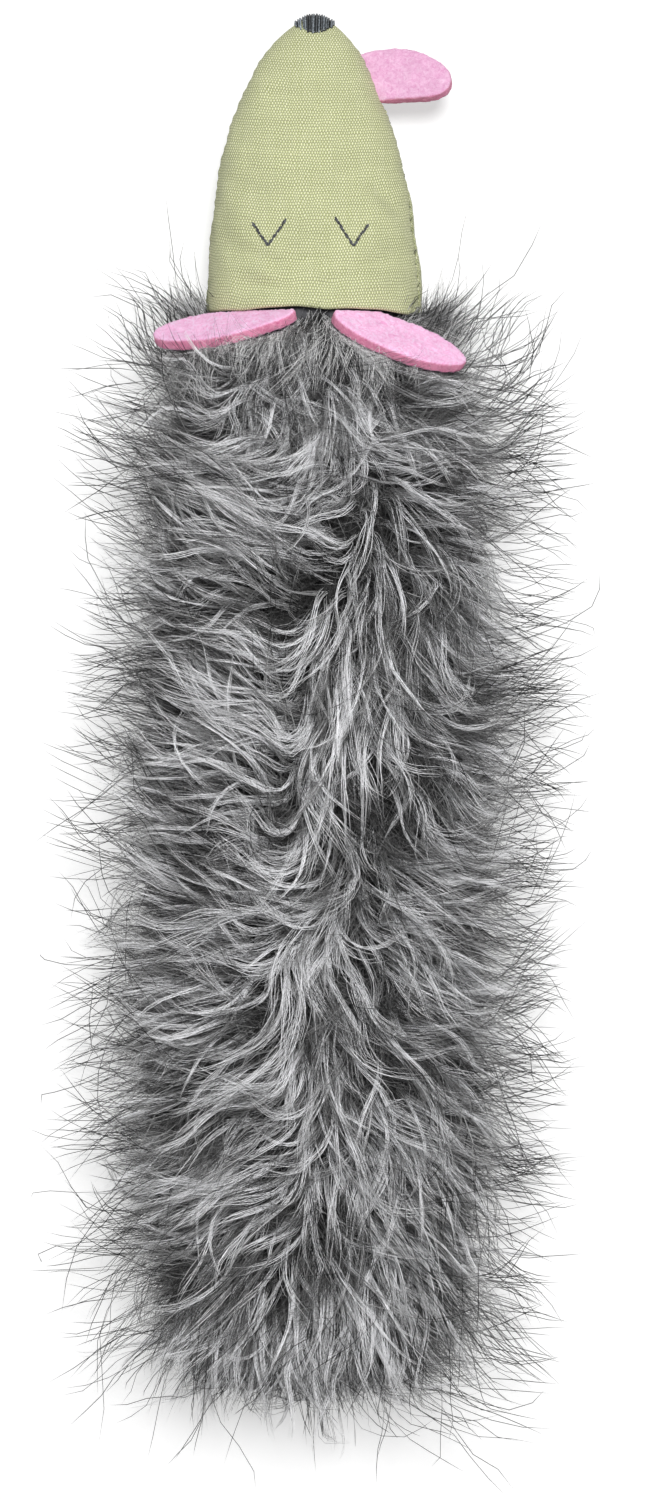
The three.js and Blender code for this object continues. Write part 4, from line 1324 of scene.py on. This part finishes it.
def grow_neck_fur(name, count, reach, lift, material):
    """Short fur that comes out of the hem all round and lies back over the body."""
    each, steps = 9, 8
    below = rng.random(count) < 0.25
    angle = np.where(below, spread_out(-2.7, -0.45, count), spread_out(-0.55, math.pi + 0.55, count))
    outward = np.stack([np.cos(angle), np.zeros(count), np.sin(angle)], 1)
    middle = np.array([0, 0, HEM_SEAM_HEIGHT])
    section = head_points(np.full(count, 1.0), angle)
    roots = middle + (section - middle) * spread_out(0.85, 0.93, count)[:, None]
    roots[:, 1] = spread_out(94.8, 96.6, count)
    length = spread_out(*reach, count)[:, None, None]
    share = np.linspace(0, 1, steps + 1)[None, :, None]
    aside = np.cross(outward, (0, 1, 0))[:, None] * rng.normal(0, 0.35, (count, 1, 1))
    rise = spread_out(*lift, count)[:, None, None]
    paths = roots[:, None] + outward[:, None] * rise * np.sin(1.9 * share) * smooth_step(3 * share)
    paths += length * (aside - np.array([0, 0.85, 0])) * share
    paths = add_waves(paths, spread_out(0.1, 0.8, count), spread_out(0.5, 1.3, count))
    clump, frizz = spread_out(0.1, 0.8, count), spread_out(0.3, 0.9, count)
    paths = tuft(paths, each, 0.9, clump, frizz, shorten=0.6, steps=6, margin=0.02)
    tones = np.clip(0.7 * np.repeat(rng.random(count), each) + 0.5 * rng.random(len(paths)), 0, 1)
    paths = trimmed(paths, *NECK_FUR_LIMITS)
    piece = strand_mesh(name, paths, taper(paths, (0.05, 0.085)), tones, material)
    ride_as(piece, "neck", "grey_plush", "neck_gather")


grow_neck_fur("neck_fur", 260, (11, 19), (4, 10), dark_fur)
grow_neck_fur("neck_locks", 320, (14, 32), (6, 15), neck_silver_fur)


# The CAD nodes that stay: the pouch, the threads out of sight, and the body's filling, which keeps the
# material that the CAD model brings
def cotton_material():
    material, tree, shader = new_material("pouch_cotton", 0.85, specular=0.2)
    inputs = {"Vector": object_place(tree), "Scale": 300.0, "Distortion": 0.6}
    waves = [add_node(tree, "ShaderNodeTexWave", inputs, bands_direction=way).outputs["Fac"] for way in "XY"]
    weave = math_node(tree, "MULTIPLY", *waves)
    set_colour(tree, shader, ramp_node(tree, weave, [(0.0, (0.5, 0.46, 0.38)), (1.0, (0.76, 0.72, 0.62))]))
    set_bump(tree, shader, weave, 0.5, 0.2)
    return material


def herb_material():
    material, tree, shader = new_material("dried_herb", 0.9, specular=0.2)
    crumbs = add_node(tree, "ShaderNodeTexVoronoi", {"Vector": object_place(tree), "Scale": 500.0}).outputs
    parts = add_node(tree, "ShaderNodeSeparateColor", {"Color": crumbs["Color"]}).outputs
    stops = [(0.0, (0.07, 0.09, 0.03)), (0.6, (0.18, 0.22, 0.08)), (1.0, (0.34, 0.34, 0.16))]
    set_colour(tree, shader, ramp_node(tree, parts[0], stops))
    set_bump(tree, shader, crumbs["Distance"], 0.8, 1.0)
    return material


def dress(material, *nodes):
    for node in nodes:
        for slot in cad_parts[node].material_slots:
            slot.material = material


dress(cotton_material(), "pouch_upper_cloth", "pouch_lower_cloth")
dress(herb_material(), "catnip_filling")
dress(bpy.data.materials["seam_thread"], "hem_thread")
grey_thread = thread_material("grey_thread", (0.05, 0.05, 0.055), (0.16, 0.16, 0.17))
dress(grey_thread, "left_side_seam_thread", "right_side_seam_thread", "tail_closing_stitch")


# Studio, in metres
AIR_LIGHT = 0.23  # from all round, where 1 would be white
KEY_POWER = 25.0
KEY_SIZE = 0.6
KEY_PLACE = (0.12, 0.42, 1.55)
FLOOR_HALF = 3.0
FLOOR_GREY = (0.55, 0.55, 0.55, 1)
# Near the toy its shadow shows, and far from it the floor is white, though the lamp is weak there
FLOOR_GLOW = {"From Min": 0.25, "From Max": 0.7, "To Min": 0.52, "To Max": 1.0}
CAMERA_PLACE = (0.00267, -0.00826, 1.0)
CAMERA_LENS = 97.18


def make_air():
    world = bpy.data.worlds.new("studio_world")
    bpy.context.scene.world = world
    world.use_nodes = True
    tree = world.node_tree
    ray = add_node(tree, "ShaderNodeLightPath").outputs
    seen = math_node(tree, "ADD", ray["Is Camera Ray"], ray["Is Glossy Ray"])
    seen = math_node(tree, "MINIMUM", math_node(tree, "ADD", seen, ray["Is Transmission Ray"]), 1.0)
    light = add_node(tree, "ShaderNodeMapRange", {"Value": seen, "To Min": AIR_LIGHT, "To Max": 1.0})
    background = tree.nodes["Background"]
    background.inputs["Color"].default_value = (1.0, 1.0, 1.0, 1)
    tree.links.new(light.outputs["Result"], background.inputs["Strength"])


def floor_material():
    material, tree, shader = new_material("floor", 0.9, specular=0.0)
    shader.inputs["Base Color"].default_value = FLOOR_GREY
    distance = add_node(tree, "ShaderNodeVectorMath", {"Vector": object_place(tree)}, operation="LENGTH")
    glow_range = {"Value": distance.outputs["Value"], **FLOOR_GLOW}
    white = add_node(tree, "ShaderNodeMapRange", glow_range).outputs["Result"]
    glow = add_node(tree, "ShaderNodeEmission", {"Color": (1, 1, 1, 1), "Strength": white}).outputs[0]
    both = add_node(tree, "ShaderNodeAddShader", {0: shader.outputs[0], 1: glow}).outputs[0]
    camera_ray = add_node(tree, "ShaderNodeLightPath").outputs["Is Camera Ray"]
    choose = add_node(tree, "ShaderNodeMixShader", {0: camera_ray, 1: shader.outputs[0], 2: both})
    tree.links.new(choose.outputs[0], tree.nodes["Material Output"].inputs["Surface"])
    return material


def make_floor():
    corners = np.array([[-1, -1, 0], [1, -1, 0], [1, 1, 0], [-1, 1, 0]]) * FLOOR_HALF / MM
    floor = make_piece("floor", corners, np.arange(4), np.array([4]), floor_material())


def place_in_scene(name, data, place):
    made = bpy.data.objects.new(name, data)
    made.location = place
    bpy.context.scene.collection.objects.link(made)
    return made


def make_lamp():
    data = bpy.data.lights.new("key", "AREA")
    data.shape = "DISK"
    data.size = KEY_SIZE
    data.energy = KEY_POWER
    lamp = place_in_scene("key", data, KEY_PLACE)
    lamp.rotation_euler = (-Vector(KEY_PLACE)).to_track_quat("-Z", "Y").to_euler()


def make_camera():
    """A camera that looks straight down."""
    data = bpy.data.cameras.new("camera")
    data.sensor_width = 36
    data.lens = CAMERA_LENS
    data.clip_start = 0.01
    bpy.context.scene.camera = place_in_scene("camera", data, CAMERA_PLACE)
    bpy.context.scene.view_settings.view_transform = "Standard"


make_air()
make_floor()
make_lamp()
make_camera()
